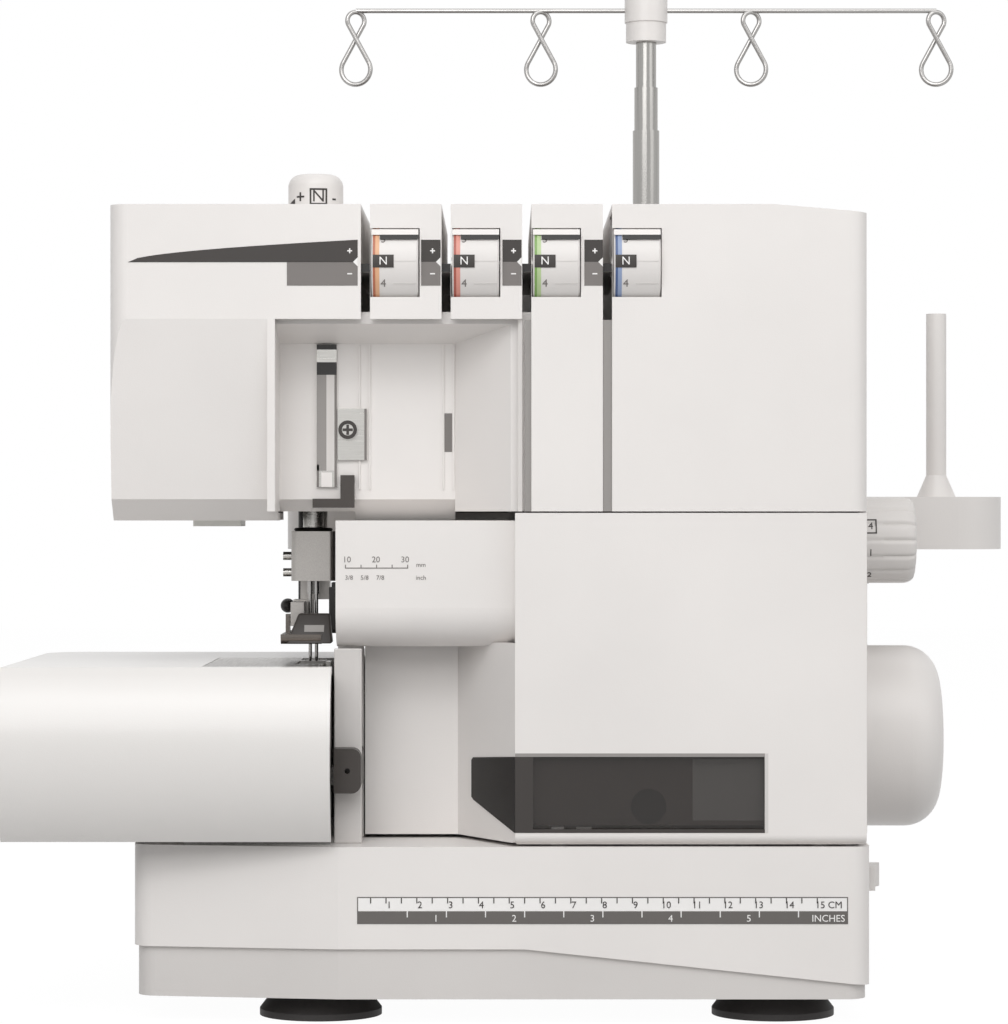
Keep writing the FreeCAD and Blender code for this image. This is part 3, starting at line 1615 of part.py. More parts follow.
stand_hollow = rounded(
    between(
        stand_left + stand_wall,
        stand_right - stand_wall,
        stand_front + stand_wall,
        stand_back - stand_wall,
        stand_bottom - past,
        stand_top - stand_wall,
    ),
    stand_corner - stand_wall,
    "Z",
)
stand_lug = between(
    stand_middle - stand_lug_width / 2,
    stand_middle + stand_lug_width / 2,
    body_back,
    stand_front + stand_wall,
    stand_bottom + stand_wall,
    stand_top - stand_wall,
)
pole_boss = size("pole_boss_radius", 9.0)
pole_radius = size("pole_lower_radius", 5.05)
pole_socket = size("pole_socket_depth", 14.0)
boss = rod("Z", stand_middle, pin_y, stand_bottom, pole_boss, stand_height)
socket = rod("Z", stand_middle, pin_y, stand_top - pole_socket, pole_radius, pole_socket + past)
node("spool_stand", cut(join(cut(stand_round, stand_hollow), stand_lug, boss), socket))
pins = []
for pin_x in pin_places:
    flare = taper("Z", pin_x, pin_y, stand_top, pin_base, pin_radius, pin_flare)
    pins.append(join(flare, rod("Z", pin_x, pin_y, stand_top, pin_radius, pin_top - stand_top)))
node("spool_pins", group(*pins))

# Telescopic pole: a fixed tube and two sliding sections
pole_tube = size("pole_tube_wall", 0.45)
pole_gap = size("pole_gap", 0.15)
pole_lower_top = size("pole_lower_top_z", 311.1)
pole_middle_top = size("pole_middle_top_z", 327.4)
pole_upper_top = size("pole_upper_top_z", 344.6)
pole_overlap = size("pole_overlap", 80.0)
pole_lower_bottom = stand_top - pole_socket
pole_middle_radius = pole_radius - pole_tube - pole_gap
pole_upper_radius = pole_middle_radius - pole_tube - pole_gap
node(
    "pole_lower",
    sleeve(
        "Z",
        stand_middle,
        pin_y,
        pole_lower_bottom,
        pole_radius,
        pole_radius - pole_tube,
        pole_lower_top - pole_lower_bottom,
    ),
)
pole_middle_bottom = pole_lower_top - pole_overlap
node(
    "pole_middle",
    sleeve(
        "Z",
        stand_middle,
        pin_y,
        pole_middle_bottom,
        pole_middle_radius,
        pole_middle_radius - pole_tube,
        pole_middle_top - pole_middle_bottom,
    ),
)
pole_upper_bottom = pole_middle_top - pole_overlap
node(
    "pole_upper",
    rod("Z", stand_middle, pin_y, pole_upper_bottom, pole_upper_radius, pole_upper_top - pole_upper_bottom),
)

# Pole cap and the guide wire that runs through it, with an eyelet over each spool pin
cap_radius = size("pole_cap_radius", 7.6)
cap_head = size("pole_cap_head_radius", 8.1)
cap_height = size("pole_cap_height", 16.4)
cap_head_height = size("pole_cap_head_height", 9.0)
wire_radius = size("guide_wire_radius", 0.9)
wire_z = size("guide_wire_z", 356.6)
eye_small = size("eyelet_small_radius", 3.25)
eye_large = size("eyelet_large_radius", 5.6)
eye_bottom = size("eyelet_bottom_z", 327.8)
eye_sway = size("eyelet_sway", 1.05)
cap_body = join(
    rod("Z", stand_middle, pin_y, pole_upper_top, cap_radius, cap_height),
    rod("Z", stand_middle, pin_y, pole_upper_top + cap_height - cap_head_height, cap_head, cap_head_height),
)
wire_left = pin_places[0]
wire_length = pin_places[-1] - pin_places[0]
wire_bore = rod("X", stand_middle - 2 * cap_head, pin_y, wire_z, wire_radius, 4 * cap_head)
node("pole_cap", cut(cap_body, wire_bore))


def eyelet(x, y):
    # A figure of eight in wire: a small loop under the bar, a large one below, crossing with a sway in depth.
    small_z = wire_z.number - wire_radius.number / 2 - eye_small.number
    large_z = eye_bottom.number + wire_radius.number + eye_large.number
    gap = small_z - large_z
    lean = math.asin((eye_small.number + eye_large.number) / gap)
    sway = eye_sway.number

    def tangent_point(centre_z, radius, side, up):
        # The strands cross, so each leaves its loop on the side away from where it arrives.
        return FreeCAD.Vector(
            x + side * radius * math.cos(lean), y, centre_z - up * radius * math.sin(lean)
        )

    small_right = tangent_point(small_z, eye_small.number, 1, 1) + FreeCAD.Vector(0, sway, 0)
    small_left = tangent_point(small_z, eye_small.number, -1, 1) - FreeCAD.Vector(0, sway, 0)
    large_right = tangent_point(large_z, eye_large.number, 1, -1) - FreeCAD.Vector(0, sway, 0)
    large_left = tangent_point(large_z, eye_large.number, -1, -1) + FreeCAD.Vector(0, sway, 0)
    top_point = FreeCAD.Vector(x, y, small_z + eye_small.number)
    low_point = FreeCAD.Vector(x, y, large_z - eye_large.number)
    edges = [
        Part.Arc(small_left, top_point, small_right).toShape(),
        Part.makeLine(small_right, large_left),
        Part.Arc(large_left, low_point, large_right).toShape(),
        Part.makeLine(large_right, small_left),
    ]
    strands = []
    for edge in edges:
        start = edge.valueAt(edge.FirstParameter)
        heading = edge.tangentAt(edge.FirstParameter)
        section = Part.Wire(Part.makeCircle(wire_radius.number, start, heading))
        strands.append(Part.Wire([edge]).makePipeShell([section], True, False))
        strands.append(Part.makeSphere(wire_radius.number * 1.01, start))
    return strands[0].multiFuse(strands[1:])


bar = Part.makeCylinder(
    wire_radius.number,
    wire_length.number,
    FreeCAD.Vector(wire_left.number, pin_y.number, wire_z.number),
    FreeCAD.Vector(1, 0, 0),
)
eyelets = [eyelet(pin_x.number, pin_y.number) for pin_x in pin_places]
guide = doc.addObject("Part::Feature", "guide")
guide.Shape = bar.multiFuse(eyelets)
node("thread_guide_wire", guide)

# Small pieces on the back wall of the recess and under the head
insert_left = size("take_up_left_x", -73.5)
insert_width = size("take_up_width", 6.6)
insert_bottom = size("take_up_bottom_z", 175.1)
insert_top = size("take_up_top_z", 221.5)
trim = size("trim_thickness", 1.2)
guide_plate_left = size("guide_plate_left_x", -66.6)
guide_plate_width = size("guide_plate_width", 9.6)
guide_plate_bottom = size("guide_plate_bottom_z", 184.0)
guide_plate_height = size("guide_plate_height", 17.0)
guide_screw_x = size("guide_screw_x", -63.2)
guide_screw_z = size("guide_screw_z", 194.0)
guide_screw = size("guide_screw_radius", 3.2)
screw_head = size("screw_head_height", 1.4)
hook_left = size("thread_hook_left_x", -74.8)
hook_stem = size("thread_hook_stem_x", -65.6)
hook_right = size("thread_hook_right_x", -61.0)
hook_bottom = size("thread_hook_bottom_z", 168.2)
hook_top = size("thread_hook_top_z", 179.0)
hook_bar = size("thread_hook_bar", 3.0)
node(
    "take_up_cover",
    between(
        insert_left, insert_left + insert_width, recess_back - trim, recess_back, insert_bottom, insert_top
    ),
)
node(
    "thread_guide_plate",
    block(
        guide_plate_left, recess_back - trim, guide_plate_bottom, guide_plate_width, trim, guide_plate_height
    ),
)
node(
    "thread_hook",
    join(
        between(hook_stem, hook_right, recess_back - hook_bar, recess_back, hook_bottom, hook_top),
        between(
            hook_left, hook_right, recess_back - hook_bar, recess_back, hook_bottom, hook_bottom + hook_bar
        ),
    ),
)
lamp_x = size("lamp_x", -116.0)
lamp_y = size("lamp_y", -70.0)
lamp_width = size("lamp_width", 16.0)
lamp_depth = size("lamp_depth", 22.0)
lamp_height = size("lamp_height", 2.0)
node("lamp", block(lamp_x, lamp_y, head_bottom - lamp_height, lamp_width, lamp_depth, lamp_height))

# Casing screws: one in the thread guide plate, four in the rear and column covers
screw_radius = size("casing_screw_radius", 3.4)
screw_inset = size("casing_screw_inset", 14.0)
screws = [rod("Y", guide_screw_x, recess_back - trim - screw_head, guide_screw_z, guide_screw, screw_head)]
for screw_x in (column_left + screw_inset, body_right - screw_inset):
    for screw_z in (base_top + screw_inset, top - 2 * screw_inset):
        screws.append(rod("Y", screw_x, body_back, screw_z, screw_radius, screw_head))
node("casing_screws", group(*screws))

doc.recompute()
faulty = [thing.Name for thing in doc.Objects if "Invalid" in thing.State or "Error" in thing.State]
if faulty:
    raise SystemExit(f"failed features: {faulty}")
for piece in nodes:
    if piece.Shape.isNull() or not piece.Shape.isValid():
        raise SystemExit(f"bad shape: {piece.Label}")

os.makedirs("parts", exist_ok=True)
for piece in nodes:
    piece.Shape.exportStep(f"parts/{piece.Label}.step")
    print(piece.Label, len(piece.Shape.Solids), round(piece.Shape.Volume, 1))
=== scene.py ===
import math

import bmesh
import bpy
from mathutils import Matrix, Vector


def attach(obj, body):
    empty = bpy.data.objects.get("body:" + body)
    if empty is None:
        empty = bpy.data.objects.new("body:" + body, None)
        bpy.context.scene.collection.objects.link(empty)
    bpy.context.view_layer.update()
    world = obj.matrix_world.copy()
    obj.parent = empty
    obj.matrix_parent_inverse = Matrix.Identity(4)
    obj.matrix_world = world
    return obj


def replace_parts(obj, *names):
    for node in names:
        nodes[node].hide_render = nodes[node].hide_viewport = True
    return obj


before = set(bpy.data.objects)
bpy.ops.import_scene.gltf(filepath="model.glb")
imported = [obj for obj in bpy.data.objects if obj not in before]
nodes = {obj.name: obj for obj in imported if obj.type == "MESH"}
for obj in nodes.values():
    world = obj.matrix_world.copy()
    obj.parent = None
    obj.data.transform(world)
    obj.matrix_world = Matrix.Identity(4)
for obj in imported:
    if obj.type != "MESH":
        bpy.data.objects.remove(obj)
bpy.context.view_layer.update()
mm = 0.001  # one millimetre in metres
print("frame loaded,", len(nodes), "nodes")

# shader groups: effects that several finishes share
grainLook = {
    "cloudScale": 14.0,
    "cloudDetail": 3.0,
    "cloudRange": (0.35, 0.75),  # noise values between which the tint turns to its shade
    "smearScale": 38.0,
    "smearDetail": 4.0,
    "smearSwing": 0.03,
    "sparkDetail": 1.0,
    "coatRoughness": 0.15,
}
brushLook = {"scratchScale": 1.0, "scratchDetail": 2.0, "polishSwing": 0.2}
paneLook = {"shade": 0.8, "gloss": 0.16, "alpha": 0.4, "coat": 0.5}
bumpDistance = 0.2 * mm
surfaceOutputs = {"Color": "NodeSocketColor", "Roughness": "NodeSocketFloat", "Height": "NodeSocketFloat"}


def newGroup(name, inputs):
    group = bpy.data.node_groups.new(name, "ShaderNodeTree")
    for socketName, socketType, value in inputs:
        socket = group.interface.new_socket(socketName, in_out="INPUT", socket_type=socketType)
        socket.default_value = value
    for socketName, socketType in surfaceOutputs.items():
        group.interface.new_socket(socketName, in_out="OUTPUT", socket_type=socketType)
    return group, group.nodes.new("NodeGroupInput"), group.nodes.new("NodeGroupOutput")


def feed(tree, socket, value):
    # a number is set in the socket, another socket is linked to it
    if isinstance(value, (int, float)):
        socket.default_value = value
    else:
        tree.links.new(value, socket)


def mathNode(tree, operation, *values):
    node = tree.nodes.new("ShaderNodeMath")
    node.operation = operation
    for socket, value in zip(node.inputs, values):
        feed(tree, socket, value)
    return node.outputs[0]


def noiseOn(tree, vector, scale, detail):
    noise = tree.nodes.new("ShaderNodeTexNoise")
    noise.inputs["Detail"].default_value = detail
    feed(tree, noise.inputs["Scale"], scale)
    tree.links.new(vector, noise.inputs["Vector"])
    return noise.outputs[0]


def closeGroup(group, put, colours, share, gloss, uneven, swing, height):
    # two colours blended by share, a gloss that swings with an uneven noise, and a height for the bump
    mix = group.nodes.new("ShaderNodeMix")
    mix.data_type = "RGBA"
    group.links.new(share, mix.inputs[0])
    group.links.new(colours[0], mix.inputs[6])
    group.links.new(colours[1], mix.inputs[7])
    group.links.new(mix.outputs[2], put.inputs["Color"])
    change = mathNode(group, "MULTIPLY_ADD", uneven, swing, -swing / 2)
    group.links.new(mathNode(group, "ADD", gloss, change), put.inputs["Roughness"])
    group.links.new(height, put.inputs["Height"])
    return group


def makeMouldGrain():
    # moulded plastic: cloudy tint, fine spark grain, soft handling marks in the gloss
    group, given, put = newGroup(
        "mouldGrain",
        [
            ("Tint", "NodeSocketColor", (0.8, 0.8, 0.8, 1)),
            ("Shade", "NodeSocketColor", (0.7, 0.7, 0.7, 1)),
            ("Gloss", "NodeSocketFloat", 0.35),
            ("Grain", "NodeSocketFloat", 2600.0),
        ],
    )
    look = grainLook
    place = group.nodes.new("ShaderNodeTexCoord").outputs["Object"]
    ramp = group.nodes.new("ShaderNodeMapRange")
    ramp.inputs["From Min"].default_value, ramp.inputs["From Max"].default_value = look["cloudRange"]
    group.links.new(noiseOn(group, place, look["cloudScale"], look["cloudDetail"]), ramp.inputs[0])
    smear = noiseOn(group, place, look["smearScale"], look["smearDetail"])
    spark = noiseOn(group, place, given.outputs["Grain"], look["sparkDetail"])
    colours = given.outputs["Tint"], given.outputs["Shade"]
    gloss = given.outputs["Gloss"]
    return closeGroup(group, put, colours, ramp.outputs[0], gloss, smear, look["smearSwing"], spark)


def makeBrushing():
    # ground or drawn metal: long fine scratches along one axis
    group, given, put = newGroup(
        "brushing",
        [
            ("Metal", "NodeSocketColor", (0.6, 0.6, 0.6, 1)),
            ("Worn", "NodeSocketColor", (0.4, 0.4, 0.4, 1)),
            ("Polish", "NodeSocketFloat", 0.3),
            ("Stretch", "NodeSocketVector", (60.0, 2500.0, 2500.0)),
        ],
    )
    place = group.nodes.new("ShaderNodeTexCoord").outputs["Object"]
    mapping = group.nodes.new("ShaderNodeVectorMath")
    mapping.operation = "MULTIPLY"
    group.links.new(place, mapping.inputs[0])
    group.links.new(given.outputs["Stretch"], mapping.inputs[1])
    scratch = noiseOn(group, mapping.outputs[0], brushLook["scratchScale"], brushLook["scratchDetail"])
    colours = given.outputs["Metal"], given.outputs["Worn"]
    polish = given.outputs["Polish"]
    return closeGroup(group, put, colours, scratch, polish, scratch, brushLook["polishSwing"], scratch)


mouldGrain = makeMouldGrain()
brushing = makeBrushing()


def rgba(colour, share=1.0):
    return (*(part * share for part in colour), 1.0)


def srgb(red, green, blue):
    # a colour as it reads on screen, 0 to 255, in linear light
    def toLinear(value):
        value = value / 255
        return value / 12.92 if value <= 0.04045 else ((value + 0.055) / 1.055) ** 2.4

    return tuple(toLinear(value) for value in (red, green, blue))


def groupMaterial(name, group, values, bump=None):
    # a material whose colour, roughness and bump come from a shader group with these values
    material = bpy.data.materials.new(name)
    material.use_nodes = True
    tree = material.node_tree
    shader = tree.nodes["Principled BSDF"]
    effect = tree.nodes.new("ShaderNodeGroup")
    effect.node_tree = group
    for socketName, value in values.items():
        effect.inputs[socketName].default_value = value
    tree.links.new(effect.outputs["Color"], shader.inputs["Base Color"])
    tree.links.new(effect.outputs["Roughness"], shader.inputs["Roughness"])
    if bump:
        relief = tree.nodes.new("ShaderNodeBump")
        relief.inputs["Strength"].default_value = bump
        relief.inputs["Distance"].default_value = bumpDistance
        tree.links.new(effect.outputs["Height"], relief.inputs["Height"])
        tree.links.new(relief.outputs[0], shader.inputs["Normal"])
    return material, shader


def plastic(name, colour, shade=0.94, gloss=0.36, grain=2600.0, bump=0.12, coat=0.0):
    values = {"Tint": rgba(colour), "Shade": rgba(colour, shade), "Gloss": gloss, "Grain": grain}
    material, shader = groupMaterial(name, mouldGrain, values, bump)
    shader.inputs["Coat Weight"].default_value = coat
    shader.inputs["Coat Roughness"].default_value = grainLook["coatRoughness"]
    return material


def metal(name, colour, worn=0.7, polish=0.3, stretch=(60.0, 2500.0, 2500.0), bump=0.1):
    values = {"Metal": rgba(colour), "Worn": rgba(colour, worn), "Polish": polish, "Stretch": stretch}
    material, shader = groupMaterial(name, brushing, values, bump)
    shader.inputs["Metallic"].default_value = 1.0
    return material


def smokedPane(name, colour):
    values = {"Tint": rgba(colour), "Shade": rgba(colour, paneLook["shade"]), "Gloss": paneLook["gloss"]}
    material, shader = groupMaterial(name, mouldGrain, values)
    shader.inputs["Alpha"].default_value = paneLook["alpha"]
    shader.inputs["Coat Weight"].default_value = paneLook["coat"]
    return material


finishes = {
    "casing": plastic("casingWhite", srgb(234, 230, 227), gloss=0.38),
    # a darker copy of the casing white, used as painted shade on the base pan, the chute guard, the take-up
    # channel's side and the window's side strip; the tension dial lines use it as their own grey
    "shade": plastic("casingPaintedShadeAndLines", srgb(214, 210, 207), gloss=0.42),
    "sheen": plastic("clothPlateSheen", srgb(226, 223, 220), shade=0.985, gloss=0.28, coat=0.15),
    "dial": plastic("dialWhite", srgb(226, 222, 219), gloss=0.4),
    "dark": plastic("darkMoulding", srgb(58, 52, 48), gloss=0.4, bump=0.2),
    "black": plastic("blackMoulding", srgb(28, 25, 24), gloss=0.45, bump=0.2),
    "rubber": plastic("footRubber", srgb(44, 41, 40), gloss=0.62, grain=1400.0, bump=0.35),
    "grey": plastic("panelGrey", srgb(120, 115, 112), gloss=0.5),
    "card": plastic("windowCard", srgb(88, 79, 75), gloss=0.5),
    "rulerGrey": plastic("rulerGrey", srgb(98, 94, 91), gloss=0.5, bump=0.03),
    # mid grey: painted shade in the take-up channel and the long thread slots, and painted shadow above the
    # window pane; also the own grey of the window card's field and the toe slot
    "greyAndPaintedShade": plastic("midGreyAndPaintedShade", srgb(150, 146, 143), gloss=0.45),
    "ink": plastic("printedInk", srgb(48, 43, 40), gloss=0.5, bump=0.03),
    "paper": plastic("printedWhite", srgb(243, 241, 239), gloss=0.45, bump=0.03),
    "orange": plastic("markOrange", srgb(178, 104, 76), gloss=0.4),
    "red": plastic("markRed", srgb(166, 84, 70), gloss=0.4),
    "green": plastic("markGreen", srgb(120, 158, 84), gloss=0.4),
    "blue": plastic("markBlue", srgb(66, 88, 132), gloss=0.4),
    "orangePale": plastic("markOrangePale", srgb(222, 172, 134), gloss=0.4),
    "redPale": plastic("markRedPale", srgb(216, 146, 132), gloss=0.4),
    "greenPale": plastic("markGreenPale", srgb(180, 202, 150), gloss=0.4),
    "bluePale": plastic("markBluePale", srgb(142, 158, 190), gloss=0.4),
    "steel": metal("groundSteel", srgb(196, 194, 190), polish=0.3),
    "plate": metal("needlePlateSteel", srgb(176, 172, 168), polish=0.32, stretch=(2500.0, 60.0, 2500.0)),
    "wire": metal("drawnWire", srgb(176, 174, 172), polish=0.24),
    "pole": metal("poleTube", srgb(172, 170, 167), polish=0.2, stretch=(2500.0, 2500.0, 40.0)),
    "foot": metal("blackedSteel", srgb(112, 106, 101), polish=0.36, stretch=(2500.0, 60.0, 2500.0)),
    "casting": metal("castAlloy", srgb(150, 148, 146), polish=0.55, stretch=(700.0, 700.0, 700.0), bump=0.3),
    "bronze": metal("bushBronze", srgb(172, 142, 92), polish=0.4),
    "motor": plastic("motorPaint", srgb(54, 54, 57), gloss=0.35),
    "lens": plastic("lampLens", srgb(240, 240, 234), gloss=0.2),
    "smoked": smokedPane("smokedPane", srgb(50, 44, 40)),
}
nodeFinish = {
    "casing": "base_housing front_cover rear_cover column_cover looper_cover bed_cover handwheel spool_stand "
              "spool_pins pole_cap",
    # the base pan takes the darker casing copy: painted shade
    "shade": "base_pan",
    "sheen": "cloth_plate",
    "dial": "pressure_dial tension_dial_1 tension_dial_2 tension_dial_3 tension_dial_4 stitch_length_dial "
            "differential_feed_dial power_switch",
    "dark": "thread_hook lower_knife_holder",
    "black": "power_inlet foot_lifter upper_knife",
    "rubber": "rubber_feet drive_belt",
    "steel": "cover_hinge_rod main_shaft motor_pulley needle_bar needle_set_screws presser_bar "
             "presser_spring lower_looper upper_looper differential_feed_dog main_feed_dog "
             "upper_knife_arm lower_knife tension_spindles take_up_cover thread_guide_plate casing_screws",
    "plate": "needle_plate needle_clamp presser_ankle",
    "wire": "thread_guide_wire needles",
    "pole": "pole_lower pole_middle pole_upper",
    "foot": "presser_foot",
    "casting": "free_arm main_frame driven_pulley",
    "bronze": "bushes",
    "motor": "motor",
    "lens": "lamp",
    "smoked": "looper_cover_window",
}
for finish, names in nodeFinish.items():
    for name in names.split():
        for holder in nodes[name].material_slots:
            holder.material = finishes[finish]
print("finishes given to", sum(len(names.split()) for names in nodeFinish.values()), "nodes")

# making and seating pieces: sizes are given in millimetres, and a depth as a pair of y values in metres
mergeDistance = 1e-7
sharpAngle = math.radians(35)  # an edge sharper than this stays hard on a smooth piece
fontScale = 1.38  # a letter's size over the height of its capitals
fontSteps = 3
filmThickness = 0.12
sunk = 0.1  # how deep the marks on a dial reach into it
front = -113 * mm  # front face of the casing
proud = filmThickness * mm
film = (front - proud, front)
overFilm = (front - 2 * proud, front - proud)


def addPiece(name, mesh, body, finish):
    piece = bpy.data.objects.new(name, mesh)
    bpy.context.scene.collection.objects.link(piece)
    mesh.materials.append(finishes[finish])
    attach(piece, body)
    return piece


def metres(point):
    return tuple(value * mm for value in point)


def meshOf(build, smooth=False):
    work = bmesh.new()
    build(work)
    bmesh.ops.remove_doubles(work, verts=work.verts, dist=mergeDistance)
    bmesh.ops.recalc_face_normals(work, faces=work.faces)
    mesh = bpy.data.meshes.new("piece")
    work.to_mesh(mesh)
    work.free()
    if smooth:
        mesh.shade_smooth()
        mesh.set_sharp_from_angle(angle=sharpAngle)
    return mesh


def joinMeshes(meshes):
    work = bmesh.new()
    for mesh in meshes:
        work.from_mesh(mesh)
    joined = bpy.data.meshes.new("joined")
    work.to_mesh(joined)
    work.free()
    return joined


def loftInto(work, rings):
    # a closed skin over rings of points, with a flat face at both ends
    rows = [[work.verts.new(point) for point in ring] for ring in rings]
    for first, second in zip(rows, rows[1:]):
        for index in range(len(first)):
            following = (index + 1) % len(first)
            work.faces.new((first[index], first[following], second[following], second[index]))
    work.faces.new(list(reversed(rows[0])))
    work.faces.new(rows[-1])


def loftMesh(rings, smooth=False):
    return meshOf(lambda work: loftInto(work, rings), smooth)


def soften(work, edge, segments):
    # rounds every edge of a shape
    offset = edge * mm
    bmesh.ops.bevel(work, geom=work.edges[:], offset=offset, segments=segments, affect="EDGES", profile=0.5)


def barMesh(low, high, edge):
    # a box with softened edges
    def build(work):
        size = metres(top - bottom for bottom, top in zip(low, high))
        middle = metres((top + bottom) / 2 for bottom, top in zip(low, high))
        bmesh.ops.create_cube(work, size=1.0, matrix=Matrix.Translation(middle) @ Matrix.Diagonal((*size, 1)))
        soften(work, edge, segments=2)

    return meshOf(build)


def plateMesh(outline, depth):
    # a thin plate facing the front, its outline in x and z
    return loftMesh([[(x * mm, y, z * mm) for x, z in outline] for y in depth])


def strip(xLow, xHigh, zLow, zHigh, depth=film):
    return plateMesh(((xLow, zLow), (xHigh, zLow), (xHigh, zHigh), (xLow, zHigh)), depth)


def crossMesh(x, z, length, width, depth):
    reach, half = length / 2, width / 2
    arms = [
        strip(x - reach, x + reach, z - half, z + half, depth),
        strip(x - half, x + half, z + half, z + reach, depth),
        strip(x - half, x + half, z - reach, z - half, depth),
    ]
    return joinMeshes(arms)


def lathe(profile, axis, centre, steps, wave=None):
    # turns (along, radius) pairs about an axis; wave(angle, along, radius) may change a radius
    turns = {
        "X": Matrix.Rotation(math.pi / 2, 4, "Y"),
        "Y": Matrix.Rotation(-math.pi / 2, 4, "X"),
        "Z": Matrix(),
    }
    place = Matrix.Translation(metres(centre)) @ turns[axis]

    def build(work):
        rings = []
        for along, radius in profile:
            ring = []
            for step in range(steps if radius else 1):  # an end on the axis is one point
                angle = 2 * math.pi * step / steps
                reach = wave(angle, along, radius) if wave else radius
                point = (reach * math.cos(angle), reach * math.sin(angle), along)
                ring.append(work.verts.new(place @ Vector(metres(point))))
            rings.append(ring)
        for first, second in zip(rings, rings[1:]):
            for step in range(steps):
                following = (step + 1) % steps
                corners = [first[step % len(first)], first[following % len(first)]]
                corners += [second[following % len(second)], second[step % len(second)]]
                unique = list(dict.fromkeys(corners))
                if len(unique) > 2:
                    work.faces.new(unique)

    return meshOf(build, smooth=True)


def flatWords(text, height, reach):
    # lettering as a mesh, face up at the origin, that reaches so many metres up and down
    curve = bpy.data.curves.new("words", "FONT")
    curve.body = text
    curve.size = height * mm * fontScale
    curve.extrude = reach
    curve.align_x = "CENTER"
    curve.align_y = "CENTER"
    curve.resolution_u = fontSteps
    shown = bpy.data.objects.new("words", curve)
    bpy.context.scene.collection.objects.link(shown)
    bpy.context.view_layer.update()
    mesh = bpy.data.meshes.new_from_object(shown.evaluated_get(bpy.context.evaluated_depsgraph_get()))
    bpy.data.objects.remove(shown)
    return mesh


def frontWords(text, height, x, y, z, reach):
    # lettering on a surface that faces the front; y and reach are in metres
    mesh = flatWords(text, height, reach)
    mesh.transform(Matrix.Translation((x * mm, y, z * mm)) @ Matrix.Rotation(math.pi / 2, 4, "X"))
    return mesh


# studio: white backdrop, big soft lamps, the photograph's camera
studio = {
    "cameraPlace": (-11.5, -1313, 166.8),
    "focalPixels": 3696,
    "framePixels": 1024,
    "sensor": 36,
    "clipEnd": 20,
    "worldStrength": 0.42,
    "floorSize": 4.0,
    "floorDrop": 0.2,
    "floorGlow": 0.9,
    "floorStrength": 1.08,
    "floorShade": 0.55,
    "lamps": [  # name, place, aim, width and height, power
        ("keyLamp", (0.25, -1.3, 1.6), (0, -0.05, 0.15), (1.4, 1.0), 9.5),
        ("frontLamp", (-0.3, -1.1, 0.78), (0, -0.1, 0.22), (0.9, 0.7), 5.9),
        ("fillLamp", (1.3, -0.9, 0.9), (0, 0, 0.15), (1.0, 1.0), 3.5),
        ("topLamp", (0.1, 0.3, 1.8), (0, 0, 0.1), (1.6, 1.6), 3.5),
    ],
}


def backgroundRays(tree):
    # rays that see the backdrop itself: straight from the camera, mirrored or through glass
    path = tree.nodes.new("ShaderNodeLightPath")
    first = mathNode(tree, "ADD", path.outputs["Is Camera Ray"], path.outputs["Is Glossy Ray"])
    both = mathNode(tree, "ADD", first, path.outputs["Is Transmission Ray"])
    both.node.use_clamp = True
    return both


def makeWorld():
    world = bpy.data.worlds.new("studioWorld")
    bpy.context.scene.world = world
    world.use_nodes = True
    tree = world.node_tree
    light = tree.nodes["Background"]
    light.inputs["Color"].default_value = (1, 1, 1, 1)
    strength = tree.nodes.new("ShaderNodeMapRange")
    strength.inputs["To Min"].default_value = studio["worldStrength"]
    strength.inputs["To Max"].default_value = 1.0
    tree.links.new(backgroundRays(tree), strength.inputs[0])
    tree.links.new(strength.outputs[0], light.inputs["Strength"])


def makeFloor():
    def build(work):
        bmesh.ops.create_grid(work, x_segments=1, y_segments=1, size=studio["floorSize"])

    floor = bpy.data.objects.new("studioFloor", meshOf(build))
    bpy.context.scene.collection.objects.link(floor)
    floor.location.z = -studio["floorDrop"] * mm
    material = bpy.data.materials.new("studioPaper")
    material.use_nodes = True
    tree = material.node_tree
    tree.nodes.clear()
    paper = tree.nodes.new("ShaderNodeBsdfDiffuse")
    paper.inputs["Color"].default_value = rgba((studio["floorShade"],) * 3)
    glow = tree.nodes.new("ShaderNodeEmission")
    glow.inputs["Strength"].default_value = studio["floorStrength"]
    mix = tree.nodes.new("ShaderNodeMixShader")
    share = mathNode(tree, "MULTIPLY", backgroundRays(tree), studio["floorGlow"])
    tree.links.new(share, mix.inputs[0])
    tree.links.new(paper.outputs[0], mix.inputs[1])
    tree.links.new(glow.outputs[0], mix.inputs[2])
    output = tree.nodes.new("ShaderNodeOutputMaterial")
    tree.links.new(mix.outputs[0], output.inputs[0])
    floor.data.materials.append(material)


def makeLamp(name, place, target, size, power):
    light = bpy.data.lights.new(name, "AREA")
    light.shape = "RECTANGLE"
    light.size, light.size_y = size
    light.energy = power
    lamp = bpy.data.objects.new(name, light)
    lamp.location = place
    lamp.rotation_euler = (Vector(target) - Vector(place)).to_track_quat("-Z", "Y").to_euler()
    bpy.context.scene.collection.objects.link(lamp)


def makeCamera():
    camera = bpy.data.cameras.new("photoCamera")
    camera.lens = studio["focalPixels"] / studio["framePixels"] * studio["sensor"]
    camera.sensor_width = studio["sensor"]
    camera.clip_end = studio["clipEnd"]
    holder = bpy.data.objects.new("photoCamera", camera)
    holder.location = metres(studio["cameraPlace"])
    holder.rotation_euler = (math.pi / 2, 0, 0)
    bpy.context.scene.collection.objects.link(holder)
    bpy.context.scene.camera = holder


makeWorld()
makeFloor()
for lampValues in studio["lamps"]:
    makeLamp(*lampValues)
makeCamera()
bpy.context.scene.view_settings.view_transform = "Standard"
print("studio ready")


